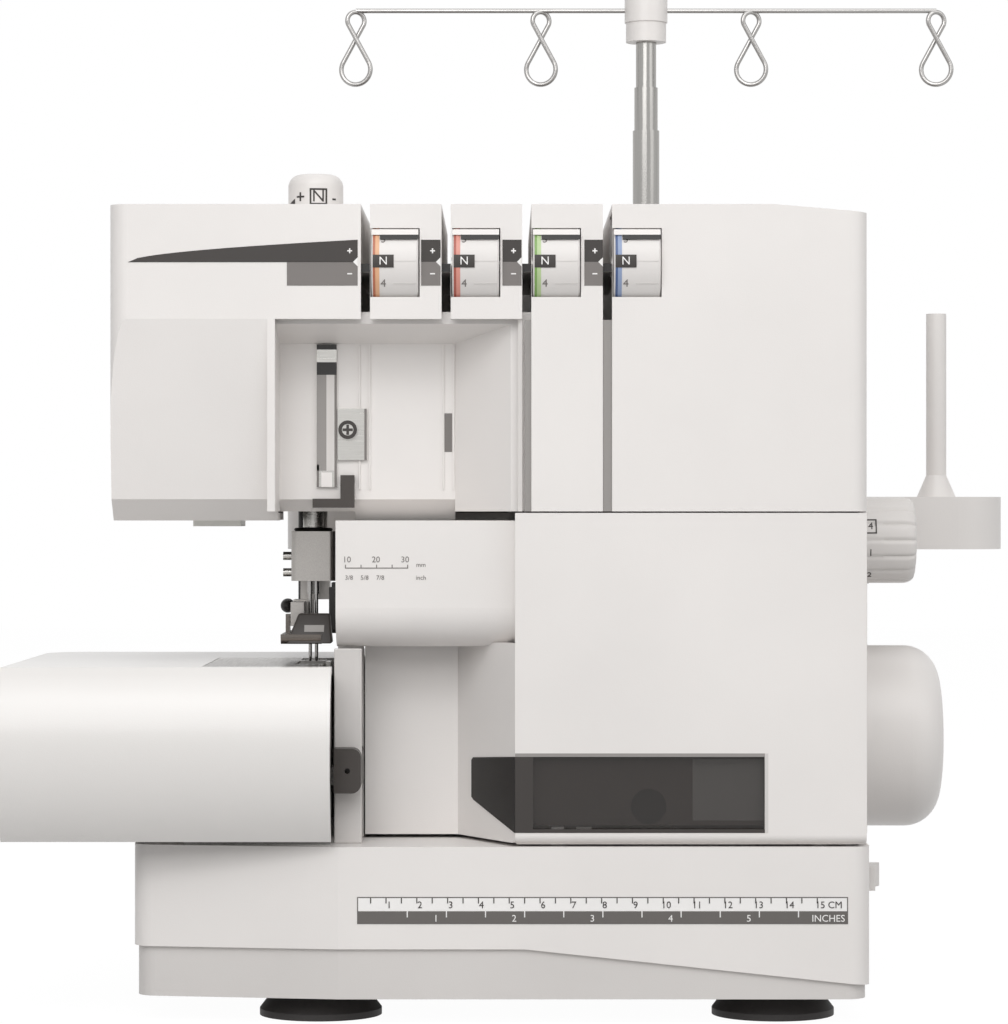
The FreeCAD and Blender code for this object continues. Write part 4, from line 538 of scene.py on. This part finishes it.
def makeRowTree():
    # copies of the object's own mesh, Count of them, Step apart
    tree = bpy.data.node_groups.new("rowOfPieces", "GeometryNodeTree")
    tree.is_modifier = True
    sockets = {"Geometry": "Geometry", "Count": "Int", "Step": "Vector", "Finish": "Material"}
    for socketName, kind in sockets.items():
        tree.interface.new_socket(socketName, in_out="INPUT", socket_type="NodeSocket" + kind)
    tree.interface.new_socket("Geometry", in_out="OUTPUT", socket_type="NodeSocketGeometry")
    given, put = tree.nodes.new("NodeGroupInput"), tree.nodes.new("NodeGroupOutput")
    line = tree.nodes.new("GeometryNodeMeshLine")
    line.mode = "OFFSET"
    copies = tree.nodes.new("GeometryNodeInstanceOnPoints")
    realize = tree.nodes.new("GeometryNodeRealizeInstances")
    paint = tree.nodes.new("GeometryNodeSetMaterial")
    tree.links.new(given.outputs["Count"], line.inputs["Count"])
    tree.links.new(given.outputs["Step"], line.inputs["Offset"])
    tree.links.new(line.outputs[0], copies.inputs["Points"])
    tree.links.new(given.outputs["Geometry"], copies.inputs["Instance"])
    tree.links.new(copies.outputs[0], realize.inputs[0])
    tree.links.new(realize.outputs[0], paint.inputs["Geometry"])
    tree.links.new(given.outputs["Finish"], paint.inputs["Material"])
    tree.links.new(paint.outputs[0], put.inputs[0])
    return tree


rowTree = makeRowTree()


def repeatRow(mesh, count, step, finish):
    # runs the row tree on one small mesh and gives back the plain result
    source = bpy.data.objects.new("repeat", mesh)
    bpy.context.scene.collection.objects.link(source)
    modifier = source.modifiers.new("repeat", "NODES")
    modifier.node_group = rowTree
    values = {"Count": count, "Step": metres(step), "Finish": finishes[finish]}
    for item in rowTree.interface.items_tree:
        if item.in_out == "INPUT" and item.name in values:
            modifier[item.identifier] = values[item.name]
    source.update_tag()
    bpy.context.view_layer.update()
    made = bpy.data.meshes.new_from_object(source.evaluated_get(bpy.context.evaluated_depsgraph_get()))
    source.modifiers.remove(modifier)
    bpy.data.objects.remove(source)
    return made


# printed film on the head: a tapered dark stripe, grey fields and plus and minus signs by the dials
headPrint = {
    "stripeTip": -133.6,
    "stripeEnd": -59.0,
    "stripeLow": 248.0,
    "stripeRise": 7.2,
    "stripeBend": 0.55,  # under 1, the upper edge bows outwards
    "stripeLap": 0.1,
    "stripeSteps": 24,
    "fieldLow": 240.3,
    "fields": [(-82.0, -59.0), (-38.4, -32.1), (-12.0, -5.8), (14.6, 20.6)],  # left and right of each field
    "signInset": 2.6,
    "signSize": 1.6,
    "signLine": 0.42,
    "diamond": 1.5,
}


def makeHeadPrint():
    values = headPrint
    tip, end, low = values["stripeTip"], values["stripeEnd"], values["stripeLow"]
    rise, steps, fieldLow = values["stripeRise"], values["stripeSteps"], values["fieldLow"]
    size, line, reach = values["signSize"], values["signLine"], values["diamond"]
    outline = [(tip, low - values["stripeLap"]), (end, low - values["stripeLap"])]
    for step in range(steps):
        share = 1 - step / steps
        outline.append((tip + (end - tip) * share, low + rise * share ** values["stripeBend"]))
    dark = [plateMesh(outline, film)]
    dark += [strip(left, right, low, low + rise) for left, right in values["fields"][1:]]
    grey = [strip(left, right, fieldLow, low) for left, right in values["fields"]]
    signs = []
    for left, right in values["fields"]:
        middle = right - values["signInset"]
        level = (low + fieldLow) / 2
        signs.append(crossMesh(middle, low + rise / 2, size, line, overFilm))
        minus = (middle - size / 2, middle + size / 2, level - line / 2, level + line / 2)
        signs.append(strip(*minus, overFilm))
        signs.append(plateMesh(((right - reach, low), (right, low - reach), (right, low + reach)), overFilm))
    addPiece("headStripe", joinMeshes(dark), "machine", "ink")
    addPiece("headFields", joinMeshes(grey), "machine", "grey")
    addPiece("headSigns", joinMeshes(signs), "machine", "paper")


makeHeadPrint()
print("head print made")

# ruler film on the front of the base, centimetres above inches
ruler = {
    "left": -59.2,
    "right": 100.2,
    "top": 41.8,
    "middle": 37.2,
    "bottom": 33.0,
    "border": 0.35,
    "numberHeight": 2.3,
    "numberLevel": 0.42,  # share of a band's height
    "centimetres": {
        "first": -48.8,  # place of the number 1
        "step": 10.0,
        "count": 15,
        "firstTick": -54.8,
        "ticks": 30,
        "tickLength": 1.7,
        "unit": "CM",
        "unitInset": 4.2,
    },
    "inches": {
        "first": -33.6,
        "step": 25.4,
        "count": 5,
        "firstTick": -42.9,
        "ticks": 11,
        "tickLength": 2.0,
        "unit": "INCHES",
        "unitInset": 6.4,
    },
}


def rulerTicks(scale, top, finish):
    half = ruler["border"] / 2
    x = scale["firstTick"]
    tick = strip(x - half, x + half, top - scale["tickLength"], top, overFilm)
    return joinMeshes([repeatRow(tick, scale["ticks"], (scale["step"] / 2, 0, 0), finish)])


def rulerNumbers(scale, low, high):
    level = low + (high - low) * ruler["numberLevel"]
    words = [(str(number + 1), scale["first"] + scale["step"] * number) for number in range(scale["count"])]
    words.append((scale["unit"], ruler["right"] - scale["unitInset"]))
    height = ruler["numberHeight"]
    return joinMeshes([frontWords(text, height, x, front - proud, level, proud) for text, x in words])


def makeRuler():
    values = ruler
    left, right, line = values["left"], values["right"], values["border"]
    top, middle, bottom = values["top"], values["middle"], values["bottom"]
    centimetres, inches = values["centimetres"], values["inches"]
    dark = [
        strip(left, right, bottom, middle),
        strip(left, right, top - line, top),
        strip(left, left + line, middle, top - line),
        strip(right - line, right, middle, top - line),
    ]
    white = strip(left + line, right - line, middle, top - line)
    addPiece("rulerWhite", white, "machine", "paper")
    addPiece("rulerDark", joinMeshes(dark), "machine", "rulerGrey")
    addPiece("rulerTicks", rulerTicks(centimetres, top - line, "ink"), "machine", "ink")
    addPiece("rulerInchTicks", rulerTicks(inches, middle, "paper"), "machine", "paper")
    addPiece("rulerNumbers", rulerNumbers(centimetres, middle, top), "machine", "ink")
    addPiece("rulerInchNumbers", rulerNumbers(inches, bottom, middle), "machine", "paper")


makeRuler()
print("ruler made")

# tension dials: white drums, each with its thread's colour band, a dark N box and numbers round the rim
dials = {
    "centres": [-46.9, -20.7, 5.5, 31.7],
    "colours": ["orange", "red", "green", "blue"],
    "depth": -101.0,
    "height": 247.8,
    "radius": 15.7,
    "half": 7.6,  # half the width of a drum
    "drumSteps": 96,
    "rim": 0.5,
    "bandMiddle": -6.3,
    "bandRight": -5.0,
    "bandProud": 0.12,
    "boxRight": -0.3,
    "boxSpan": 15.0,  # degrees of the rim under the N box
    "labels": "9 8 7 6 5 4 N 3 2 1 0",
    "labelTurn": 0.8,
    "labelStep": 27.0,
    "labelHeight": 2.7,
    "labelRight": -3.7,
    "lineLeft": -0.5,
    "lineWidth": 0.25,
    "lipReach": (16.15, 16.4),
    "lipTurns": [27.0, 33.0, 41.0],  # black edge strip of painted shade, then the white hood over it
    "lipLeft": -4.8,
}


def onDrum(x, around, reach, values):
    # a point on a dial: x, degrees above the front, distance from the axis
    angle = math.radians(around)
    return metres((x, values["depth"] - reach * math.cos(angle), values["height"] + reach * math.sin(angle)))


def drumPatch(xLow, xHigh, aroundLow, aroundHigh, reachLow, reachHigh, values, steps=8):
    # a curved plate that lies on a dial
    corners = ((xLow, reachHigh), (xHigh, reachHigh), (xHigh, reachLow), (xLow, reachLow))
    rings = []
    for step in range(steps + 1):
        around = aroundLow + (aroundHigh - aroundLow) * step / steps
        rings.append([onDrum(x, around, reach, values) for x, reach in corners])
    return loftMesh(rings, smooth=True)


def drumWord(text, height, x, around, values, reach):
    # lettering bent round a dial
    mesh = flatWords(text, height, proud / 2)
    for vertex in mesh.vertices:
        right, up, out = (value / mm for value in vertex.co)
        turned = around + math.degrees(up / reach)
        vertex.co = onDrum(x + right, turned, reach + out, values)
    return mesh


def makeTensionDials():
    values = dials
    radius, half, rim = values["radius"], values["half"], values["rim"]
    left, bandMiddle, boxRight = rim - half, values["bandMiddle"], values["boxRight"]
    skin = radius + values["bandProud"]
    over = skin + values["bandProud"]
    profile = [(-half, 0), (-half, radius - rim), (left, radius)]
    profile += [(half - rim, radius), (half, radius - rim), (half, 0)]
    bands = {"Band": (left, bandMiddle, ""), "PaleBand": (bandMiddle, values["bandRight"], "Pale")}
    labels, size = values["labels"].split(), values["labelHeight"]
    zero = labels.index("N")
    turn, span = values["labelTurn"], values["boxSpan"] / 2
    wide = math.degrees(values["lineWidth"] / radius)
    edgeStart, hoodStart, hoodEnd = values["lipTurns"]
    for number, (x, colour) in enumerate(zip(values["centres"], values["colours"]), start=1):
        body = f"tension_dial_{number}"
        centre = (x, values["depth"], values["height"])
        drum = lathe(profile, "X", centre, values["drumSteps"])
        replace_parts(addPiece(f"tensionDrum{number}", drum, body, "dial"), body)
        for name, (start, end, tone) in bands.items():
            section = [(start, radius), (start, skin), (end, skin), (end, radius)]
            band = lathe(section, "X", centre, values["drumSteps"])
            addPiece(f"tension{name}{number}", band, body, colour + tone)
        box = drumPatch(x + left, x + boxRight, turn - span, turn + span, radius, over, values)
        addPiece(f"tensionBox{number}", box, body, "ink")
        bright = drumWord("N", size, x + (left + boxRight) / 2, turn, values, over + filmThickness / 2)
        addPiece(f"tensionZero{number}", bright, body, "paper")
        inked, lines = [], []
        for index, label in enumerate(labels):
            around = turn + (index - zero) * values["labelStep"]
            if index != zero:
                place = x + values["labelRight"]
                inked.append(drumWord(label, size, place, around, values, radius + filmThickness / 2))
            mark = (x + values["lineLeft"], x + half - rim, around - wide / 2, around + wide / 2)
            lines.append(drumPatch(*mark, radius - sunk, radius + filmThickness, values, steps=2))
        addPiece(f"tensionNumbers{number}", joinMeshes(inked), body, "grey")
        addPiece(f"tensionLines{number}", joinMeshes(lines), body, "shade")
        # a black strip in the gap between each dial and the casing above it: painted shade
        edge = drumPatch(x + values["lipLeft"], x + half, edgeStart, hoodStart, *values["lipReach"], values)
        addPiece(f"tensionGapShade{number}", edge, "machine", "black")
        hood = drumPatch(x - half, x + half, hoodStart, hoodEnd, *values["lipReach"], values)
        addPiece(f"tensionHood{number}", hood, "machine", "casing")


makeTensionDials()
print("tension dials made")

# threading recess: bands on the take-up cover, a crossed screw, plate edges and ribs on the back wall
recess = {
    "wall": -88.0,
    "coverFace": -89.2,
    "coverLeft": -73.5,
    "coverRight": -66.9,
    "darkBands": [(220.6, 222.3), (212.2, 216.4)],
    "channel": (180.5, 212.2),
    "channelStep": 3.2,
    "legWidth": 1.5,
    "legGap": (175.1, 179.9),
    "edge": 0.75,
    "edgeLap": 2.0,
    "plate": (-57.0, 184.0, 201.0),  # right, low and high edge of the guide plate
    "screwPlace": (-63.2, 194.0),
    "screwFace": -90.6,
    "screwRing": (1.9, 3.1),
    "ringSteps": 40,
    "crossLength": 3.4,
    "crossWidth": 0.9,
    "ribs": [-59.6, -56.2, -31.9, -28.5],
    "ribWidth": 0.55,
    "ribRise": 0.7,
    "ribEdge": 0.12,
    "ribSpan": (174.2, 222.0),
    "slot": (-31.2, -28.7, 186.7, 199.5),  # left, right, low and high
}


def makeRecess():
    values = recess
    face, wall, screwFace = (values[key] * mm for key in ("coverFace", "wall", "screwFace"))
    left, right, edge, leg = (values[key] for key in ("coverLeft", "coverRight", "edge", "legWidth"))
    low, high = values["channel"]
    legLow, legHigh = values["legGap"]
    plateRight, plateLow, plateHigh = values["plate"]
    step = left + values["channelStep"]
    skin = (face - proud, face)
    bands = [strip(left, right, *band, skin) for band in values["darkBands"]]
    # grey lines along the take-up cover's edges, the guide plate's right edge and in the back wall's slot:
    # painted shade
    dark = [
        strip(right - edge, right, legLow, high, skin),
        strip(left, left + edge, legLow, low + values["edgeLap"], skin),
        strip(plateRight - edge, plateRight, plateLow, plateHigh, skin),
        strip(*values["slot"], (wall - proud, wall)),
    ]
    addPiece("takeUpBands", joinMeshes(bands), "machine", "black")
    addPiece("recessLines", joinMeshes(dark), "machine", "grey")
    # the channel is flat film: its darker left part is painted shade and its lighter right side is painted
    # light, standing for the groove's walls
    addPiece("takeUpChannel", strip(left, step, low, high, skin), "machine", "greyAndPaintedShade")
    addPiece("takeUpSide", strip(step, right - edge, low, high, skin), "machine", "shade")
    foot = strip(left + leg, right - leg, legLow, legHigh, skin)
    addPiece("takeUpFoot", foot, "machine", "casing")
    x, z = values["screwPlace"]
    inner, outer = values["screwRing"]
    section = [(0, inner), (filmThickness, inner), (filmThickness, outer), (0, outer), (0, inner)]
    ring = lathe(section, "Y", (x, values["screwFace"] - filmThickness, z), values["ringSteps"])
    # the ink cross stands for the screw head's cross recess: painted shade
    cross = crossMesh(x, z, values["crossLength"], values["crossWidth"], (screwFace - proud, screwFace))
    addPiece("guideScrewRecess", joinMeshes([ring, cross]), "machine", "ink")
    ribLow, ribHigh = values["ribSpan"]
    ribs = []
    for x in values["ribs"]:
        corner = (x, values["wall"] - values["ribRise"], ribLow)
        ribs.append(barMesh(corner, (x + values["ribWidth"], values["wall"], ribHigh), values["ribEdge"]))
    addPiece("recessRibs", joinMeshes(ribs), "machine", "casing")


makeRecess()
print("recess details made")

# seam scale on the cloth guide arm: a line with ticks, millimetres above and fractions below
seamScale = {
    "face": -106.5,
    "lineLeft": -63.4,
    "lineRight": -42.8,
    "line": 148.5,
    "lineWidth": 0.3,
    "ticks": 5,
    "tickRise": 1.1,
    "words": [  # text, x, z and height
        ("10", -62.8, 151.2, 2.0),
        ("20", -53.3, 151.2, 2.0),
        ("30", -43.8, 151.2, 2.0),
        ("3/8", -62.1, 145.3, 1.5),
        ("5/8", -57.0, 145.3, 1.5),
        ("7/8", -51.9, 145.3, 1.5),
        ("mm", -38.6, 149.5, 1.5),
        ("inch", -38.6, 145.3, 1.5),
    ],
}


def makeSeamScale():
    values = seamScale
    face = values["face"] * mm
    skin = (face - proud, face)
    left, right, line, width = (values[key] for key in ("lineLeft", "lineRight", "line", "lineWidth"))
    tick = strip(left, left + width, line + width / 2, line + values["tickRise"], skin)
    step = (right - left - width) / (values["ticks"] - 1)
    ticks = repeatRow(tick, values["ticks"], (step, 0, 0), "grey")
    marks = [strip(left, right, line - width / 2, line + width / 2, skin)]
    for text, x, z, height in values["words"]:
        marks.append(frontWords(text, height, x, face - proud / 2, z, proud / 2))
    addPiece("seamTicks", joinMeshes([ticks]), "looper_cover", "grey")
    addPiece("seamScale", joinMeshes(marks), "looper_cover", "grey")


makeSeamScale()
print("seam scale made")

# smoked window: the tint wraps round the corner, and a dark card with a field and a disc lies behind it
window = {
    "face": (-7.9, -2.0, 62.6, 87.3),  # left, right, low and high of the tinted corner
    "paneRight": 73.2,
    "paneLow": 63.8,
    "reveal": 1.1,
    "slantWay": (-19.0, 35.0),  # x and y from the corner to the back end of the slanted wall
    "slantPoints": [(0.0, 87.3), (0.72, 85.5), (0.75, 84.6), (0.75, 72.4), (0.71, 71.4), (0.0, 62.6)],
    "slantProud": 0.25,
    "card": (-2.6, 74.0, 64.8, 88.0),
    "cardDepth": (-109.95, -109.55),
    "cardFilm": 0.04,
    "field": (49.9, 73.0, 66.4, 86.4),
    "discPlace": (35.6, 71.0),
    "discRadius": 5.8,
    "discSteps": 48,
}


def makeWindow():
    values = window
    left, right, low, high = values["face"]
    end, reveal, thin = values["paneRight"], values["reveal"], values["cardFilm"]
    along = Vector((*values["slantWay"], 0))
    out = Vector((-along.y, along.x, 0)).normalized() * values["slantProud"]
    rings = []
    for lift in (0, 1):
        x, y = left + out.x * lift, front / mm + out.y * lift
        points = [(x + along.x * share, y + along.y * share, z) for share, z in values["slantPoints"]]
        rings.append([metres(point) for point in points])
    # the tint on the slanted wall is black, darker than the front tint: the pane's own tint plus painted
    # shade of the face turned from the light
    addPiece("windowSlant", loftMesh(rings), "looper_cover", "black")
    tint = [strip(left, right, low, high), strip(right, end, low, values["paneLow"])]
    addPiece("windowCorner", joinMeshes(tint), "looper_cover", "ink")
    # the grey strip above the pane is painted overhang shadow
    above = strip(left, end, high, high + reveal)
    addPiece("windowReveal", above, "looper_cover", "greyAndPaintedShade")
    # the strip down the right side is painted shading of the bevel
    side = strip(end, end + reveal, low, high + reveal)
    addPiece("windowSide", side, "looper_cover", "shade")
    depth = metres(values["cardDepth"])
    addPiece("windowCard", strip(*values["card"], depth), "looper_cover", "card")
    field = strip(*values["field"], (depth[0] - thin * mm, depth[0]))
    addPiece("windowField", field, "looper_cover", "greyAndPaintedShade")
    x, z = values["discPlace"]
    profile = [(0, 0), (-thin, values["discRadius"]), (0, values["discRadius"])]
    disc = lathe(profile, "Y", (x, values["cardDepth"][0], z), values["discSteps"])
    addPiece("windowDisc", disc, "looper_cover", "black")


makeWindow()
print("window made")

# grey sheets of painted shade in the long thread slots, black sheets of painted shadow on the slot ledge
# fronts, and a lip that closes the cover's lower gap
slotShadeAndLip = {
    "slots": [(-4.6, -2.65), (20.65, 23.55)],
    "slotSpan": (167.0, 229.2),
    "slotDepth": (-112.4, -111.8),
    "ledges": [-58.0, -31.8, -5.6, 20.6],  # left edge of each thread slot
    "ledgeWidth": 3.0,
    "ledgeSpan": (244.9, 247.6),
    "ledgeFront": -110.5,
    "lipLow": (-7.5, -110.4, 58.66),
    "lipHigh": (105.6, -109.78, 59.9),
    "lipEdge": 0.2,
}


def makeSlotShadeAndLip():
    values = slotShadeAndLip
    depth = metres(values["slotDepth"])
    grey = [strip(left, right, *values["slotSpan"], depth) for left, right in values["slots"]]
    addPiece("slotPaintedShade", joinMeshes(grey), "machine", "greyAndPaintedShade")
    face = values["ledgeFront"] * mm
    dark = []
    for left in values["ledges"]:
        dark.append(strip(left, left + values["ledgeWidth"], *values["ledgeSpan"], (face - proud, face)))
    # black strips on the ledge fronts: painted shadow of the deep slots
    addPiece("slotLedgePaintedShade", joinMeshes(dark), "machine", "black")
    lip = barMesh(values["lipLow"], values["lipHigh"], values["lipEdge"])
    addPiece("coverLip", lip, "looper_cover", "casing")


makeSlotShadeAndLip()
print("liners made")

# pale guard between the cloth plate and the chute, standing on the base; it takes the darker casing copy as
# painted shade
guard = {
    "walls": [  # left, right, front and back of each
        (-67.0, -58.3, -77.0, -75.0),
        (-67.3, -58.2, -99.5, -98.0),
    ],
    "low": 58.0,
    "high": 122.0,
    "edge": 0.4,
}


def makeGuard():
    values = guard
    walls = []
    for left, right, ahead, back in values["walls"]:
        walls.append(barMesh((left, ahead, values["low"]), (right, back, values["high"]), values["edge"]))
    addPiece("chuteGuard", joinMeshes(walls), "machine", "shade")


makeGuard()
print("guard made")

# stitch length and differential dials on the right side: a smooth collar, a grooved grip and boxed numbers
sideDials = {
    "dials": [  # node, depth, radius and boxed mark
        ("stitch_length_dial", -23.0, 15.0, "4"),
        ("differential_feed_dial", 22.0, 13.0, "N"),
    ],
    "height": 157.0,
    "inner": 101.8,
    "collar": 107.0,
    "collarEdge": 0.4,
    "gripStart": 119.5,
    "gripStep": 0.1,
    "gripSteps": 192,
    "outer": 131.2,
    "stem": 4.0,
    "edge": 4.0,
    "edgeSteps": 8,
    "edgeSink": 0.6,  # share of the edge by which the rim draws in
    "dish": (0.5, 0.8),  # depth and slope of the hollow end
    "grooves": 16,
    "grooveDepth": 0.7,
    "grooveSharpness": 4,
    "plainShare": 0.8,  # share of the radius inside which nothing is grooved
    "numbers": "1 2 3",
    "numberHeight": 2.6,
    "numberStep": 36.0,
    "boxWidth": 4.2,
    "boxSpan": 20.0,
    "boxLine": 0.45,
    "boxTurn": 19.0,
    "boxLeft": 113.0,
}


def sideGrip(depth, radius):
    values = sideDials
    collar, start, outer = values["collar"], values["gripStart"], values["outer"]
    stem, edge, chamfer = values["stem"], values["edge"], values["collarEdge"]
    hollow, slope = values["dish"]

    def wave(angle, along, reach):
        if along < start or reach < radius * values["plainShare"]:
            return reach
        dip = max(0.0, math.cos(angle * values["grooves"])) ** values["grooveSharpness"]
        return reach - dip * values["grooveDepth"]

    profile = [(values["inner"], 0), (values["inner"], stem), (collar, stem), (collar, radius - chamfer)]
    profile += [(collar + chamfer, radius), (start, radius), (start + values["gripStep"], radius)]
    for step in range(values["edgeSteps"] + 1):
        turn = math.pi / 2 * step / values["edgeSteps"]
        sink = edge * (1 - math.cos(turn)) * values["edgeSink"]
        profile.append((outer - edge + edge * math.sin(turn), radius - sink))
    profile += [(outer, radius - edge), (outer - hollow, radius - edge - slope), (outer - hollow, 0)]
    return lathe(profile, "X", (0, depth, values["height"]), values["gripSteps"], wave)


def makeSideDials():
    values = sideDials
    line, turn, span = values["boxLine"], values["boxTurn"], values["boxSpan"] / 2
    left, right = values["boxLeft"], values["boxLeft"] + values["boxWidth"]
    low, high = turn - span, turn + span
    for name, depth, radius, boxed in values["dials"]:
        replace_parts(addPiece(name + "Grip", sideGrip(depth, radius), name, "dial"), name)
        place = {"depth": depth, "height": values["height"]}
        thin = math.degrees(line / radius)
        bars = [
            (left, right, low, low + thin),
            (left, right, high - thin, high),
            (left, left + line, low, high),
            (right - line, right, low, high),
        ]
        ink = [drumPatch(*bar, radius - sunk, radius + filmThickness, place) for bar in bars]
        for index, number in enumerate([boxed, *values["numbers"].split()]):
            around = turn - values["numberStep"] * index
            reach = radius + filmThickness / 2
            ink.append(drumWord(number, values["numberHeight"], (left + right) / 2, around, place, reach))
        addPiece(name + "Numbers", joinMeshes(ink), name, "ink")


makeSideDials()
print("side dials made")

# pressure dial on top of the head: a rounded cap with a boxed N, a plus, a minus and a tapered mark
pressure = {
    "place": (-76.0, -46.0),
    "radius": 9.4,
    "stem": 4.0,
    "stemLow": 247.0,
    "low": 267.2,
    "lowEdge": 0.3,
    "high": 282.3,
    "round": 4.2,
    "roundSteps": 8,
    "capSteps": 96,
    "boxAround": (-10.0, 27.0),
    "boxSpan": (271.4, 277.0),
    "line": 0.6,
    "plus": (-31.0, 274.2),
    "minus": (44.0, 273.4),
    "signReach": 1.5,
    "wedge": (-70.0, -46.0, 271.2, 271.5, 273.6),  # left and right turn, low edge, height at both ends
    "letterHeight": 4.2,
}


def onPost(around, z, reach):
    # a point on the dial: degrees to the right of the front, height, distance from the axis
    angle = math.radians(around)
    x, y = pressure["place"]
    return metres((x + reach * math.sin(angle), y - reach * math.cos(angle), z))


def postPatch(aroundLow, aroundHigh, zLow, zHigh, zEnd=None, steps=6):
    # a thin curved plate on the dial; zEnd is its height at the right end, when that differs
    inner, outer = pressure["radius"] - sunk, pressure["radius"] + filmThickness
    rings = []
    for step in range(steps + 1):
        share = step / steps
        around = aroundLow + (aroundHigh - aroundLow) * share
        zTop = zHigh + ((zEnd or zHigh) - zHigh) * share
        corners = ((zLow, outer), (zTop, outer), (zTop, inner), (zLow, inner))
        rings.append([onPost(around, z, reach) for z, reach in corners])
    return loftMesh(rings, smooth=True)


def makePressureDial():
    values = pressure
    radius, high, rounding = values["radius"], values["high"], values["round"]
    stem, stemLow, foot, chamfer = (values[key] for key in ("stem", "stemLow", "low", "lowEdge"))
    profile = [(stemLow, 0), (stemLow, stem), (foot, stem)]
    profile += [(foot, radius - chamfer), (foot + chamfer, radius)]
    for step in range(values["roundSteps"] + 1):
        turn = math.pi / 2 * step / values["roundSteps"]
        along = high - rounding + rounding * math.sin(turn)
        profile.append((along, radius - rounding + rounding * math.cos(turn)))
    profile.append((high, 0))
    cap = lathe(profile, "Z", (*values["place"], 0), values["capSteps"])
    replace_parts(addPiece("pressureCap", cap, "pressure_dial", "dial"), "pressure_dial")
    left, right = values["boxAround"]
    low, top = values["boxSpan"]
    line, reach = values["line"], values["signReach"]
    wide, swing = math.degrees(line / radius), math.degrees(reach / radius)
    marks = [
        postPatch(left, right, low, low + line),
        postPatch(left, right, top - line, top),
        postPatch(left, left + wide, low, top),
        postPatch(right - wide, right, low, top),
        postPatch(*values["wedge"]),
    ]
    around, level = values["plus"]
    marks.append(postPatch(around - swing, around + swing, level - line / 2, level + line / 2))
    marks.append(postPatch(around - wide / 2, around + wide / 2, level - reach, level + reach))
    around, level = values["minus"]
    marks.append(postPatch(around - swing / 2, around + swing / 2, level - line / 2, level + line / 2))
    letter = flatWords("N", values["letterHeight"], proud / 2)
    for vertex in letter.vertices:
        across, up, out = (value / mm for value in vertex.co)
        turned = (left + right) / 2 + math.degrees(across / radius)
        vertex.co = onPost(turned, (low + top) / 2 + up, radius + filmThickness / 2 + out)
    addPiece("pressureMarks", joinMeshes(marks + [letter]), "pressure_dial", "ink")


makePressureDial()
print("pressure dial made")

# presser foot toe: a dark ramp with a pale slot, in front of the needles
toe = {
    "bottom": (-83.4, -68.2, -94.0, 123.4),  # left, right, front and height
    "top": (-79.6, -69.2, -88.0, 133.2),
    "back": -85.0,
    "edge": 0.7,
    "slot": (-77.5, -71.0, 127.2, 129.4),
    "slotProud": 0.12,
}


def makeToe():
    values = toe
    back = values["back"]

    def build(work):
        rings = []
        for left, right, ahead, z in (values["bottom"], values["top"]):
            corners = ((left, ahead), (right, ahead), (right, back), (left, back))
            rings.append([metres((x, y, z)) for x, y in corners])
        loftInto(work, rings)
        soften(work, values["edge"], segments=3)

    addPiece("footToe", meshOf(build, smooth=True), "presser_foot", "ink")
    lowFront, lowZ = values["bottom"][2:]
    highFront, highZ = values["top"][2:]
    slope = (highFront - lowFront) / (highZ - lowZ)
    left, right, zLow, zHigh = values["slot"]
    rings = []
    for out in (0.0, values["slotProud"]):
        corners = ((left, zLow), (right, zLow), (right, zHigh), (left, zHigh))
        rings.append([metres((x, lowFront + slope * (z - lowZ) - out, z)) for x, z in corners])
    addPiece("footToeSlot", loftMesh(rings), "presser_foot", "greyAndPaintedShade")


makeToe()
print("presser foot toe made")

# dark collar on the needle bar over the clamp, and the black shoe on the front of the upper knife
needleTrim = {
    "collarPlace": (-76.0, -62.0),
    "collar": [(160.3, 3.5), (160.3, 6.2), (160.9, 6.6), (161.4, 6.2), (161.6, 3.5)],  # height and radius
    "collarSteps": 48,
    "shoeLow": (-70.4, -69.6, 127.0),
    "shoeHigh": (-66.9, -68.35, 141.6),
    "shoeEdge": 0.3,
}


def makeNeedleTrim():
    values = needleTrim
    collar = lathe(values["collar"], "Z", (*values["collarPlace"], 0), values["collarSteps"])
    addPiece("needleCollar", collar, "needle_bar", "black")
    shoe = barMesh(values["shoeLow"], values["shoeHigh"], values["shoeEdge"])
    addPiece("knifeShoe", shoe, "upper_knife", "black")


makeNeedleTrim()
print("needle trim made")

# cross recesses of the four casing screws on the back, drawn as black crosses of painted shade
backScrews = {
    "columns": [4.0, 92.8],
    "rows": 2,
    "low": 72.0,
    "rise": 166.8,
    "face": 51.4,
    "length": 4.4,
    "width": 1.0,
}


def makeBackScrews():
    values = backScrews
    face = values["face"] * mm
    crosses = []
    for x in values["columns"]:
        cross = crossMesh(x, values["low"], values["length"], values["width"], (face, face + proud))
        crosses.append(repeatRow(cross, values["rows"], (0, 0, values["rise"]), "black"))
    addPiece("backScrewRecesses", joinMeshes(crosses), "machine", "black")


makeBackScrews()
print("back screws made")
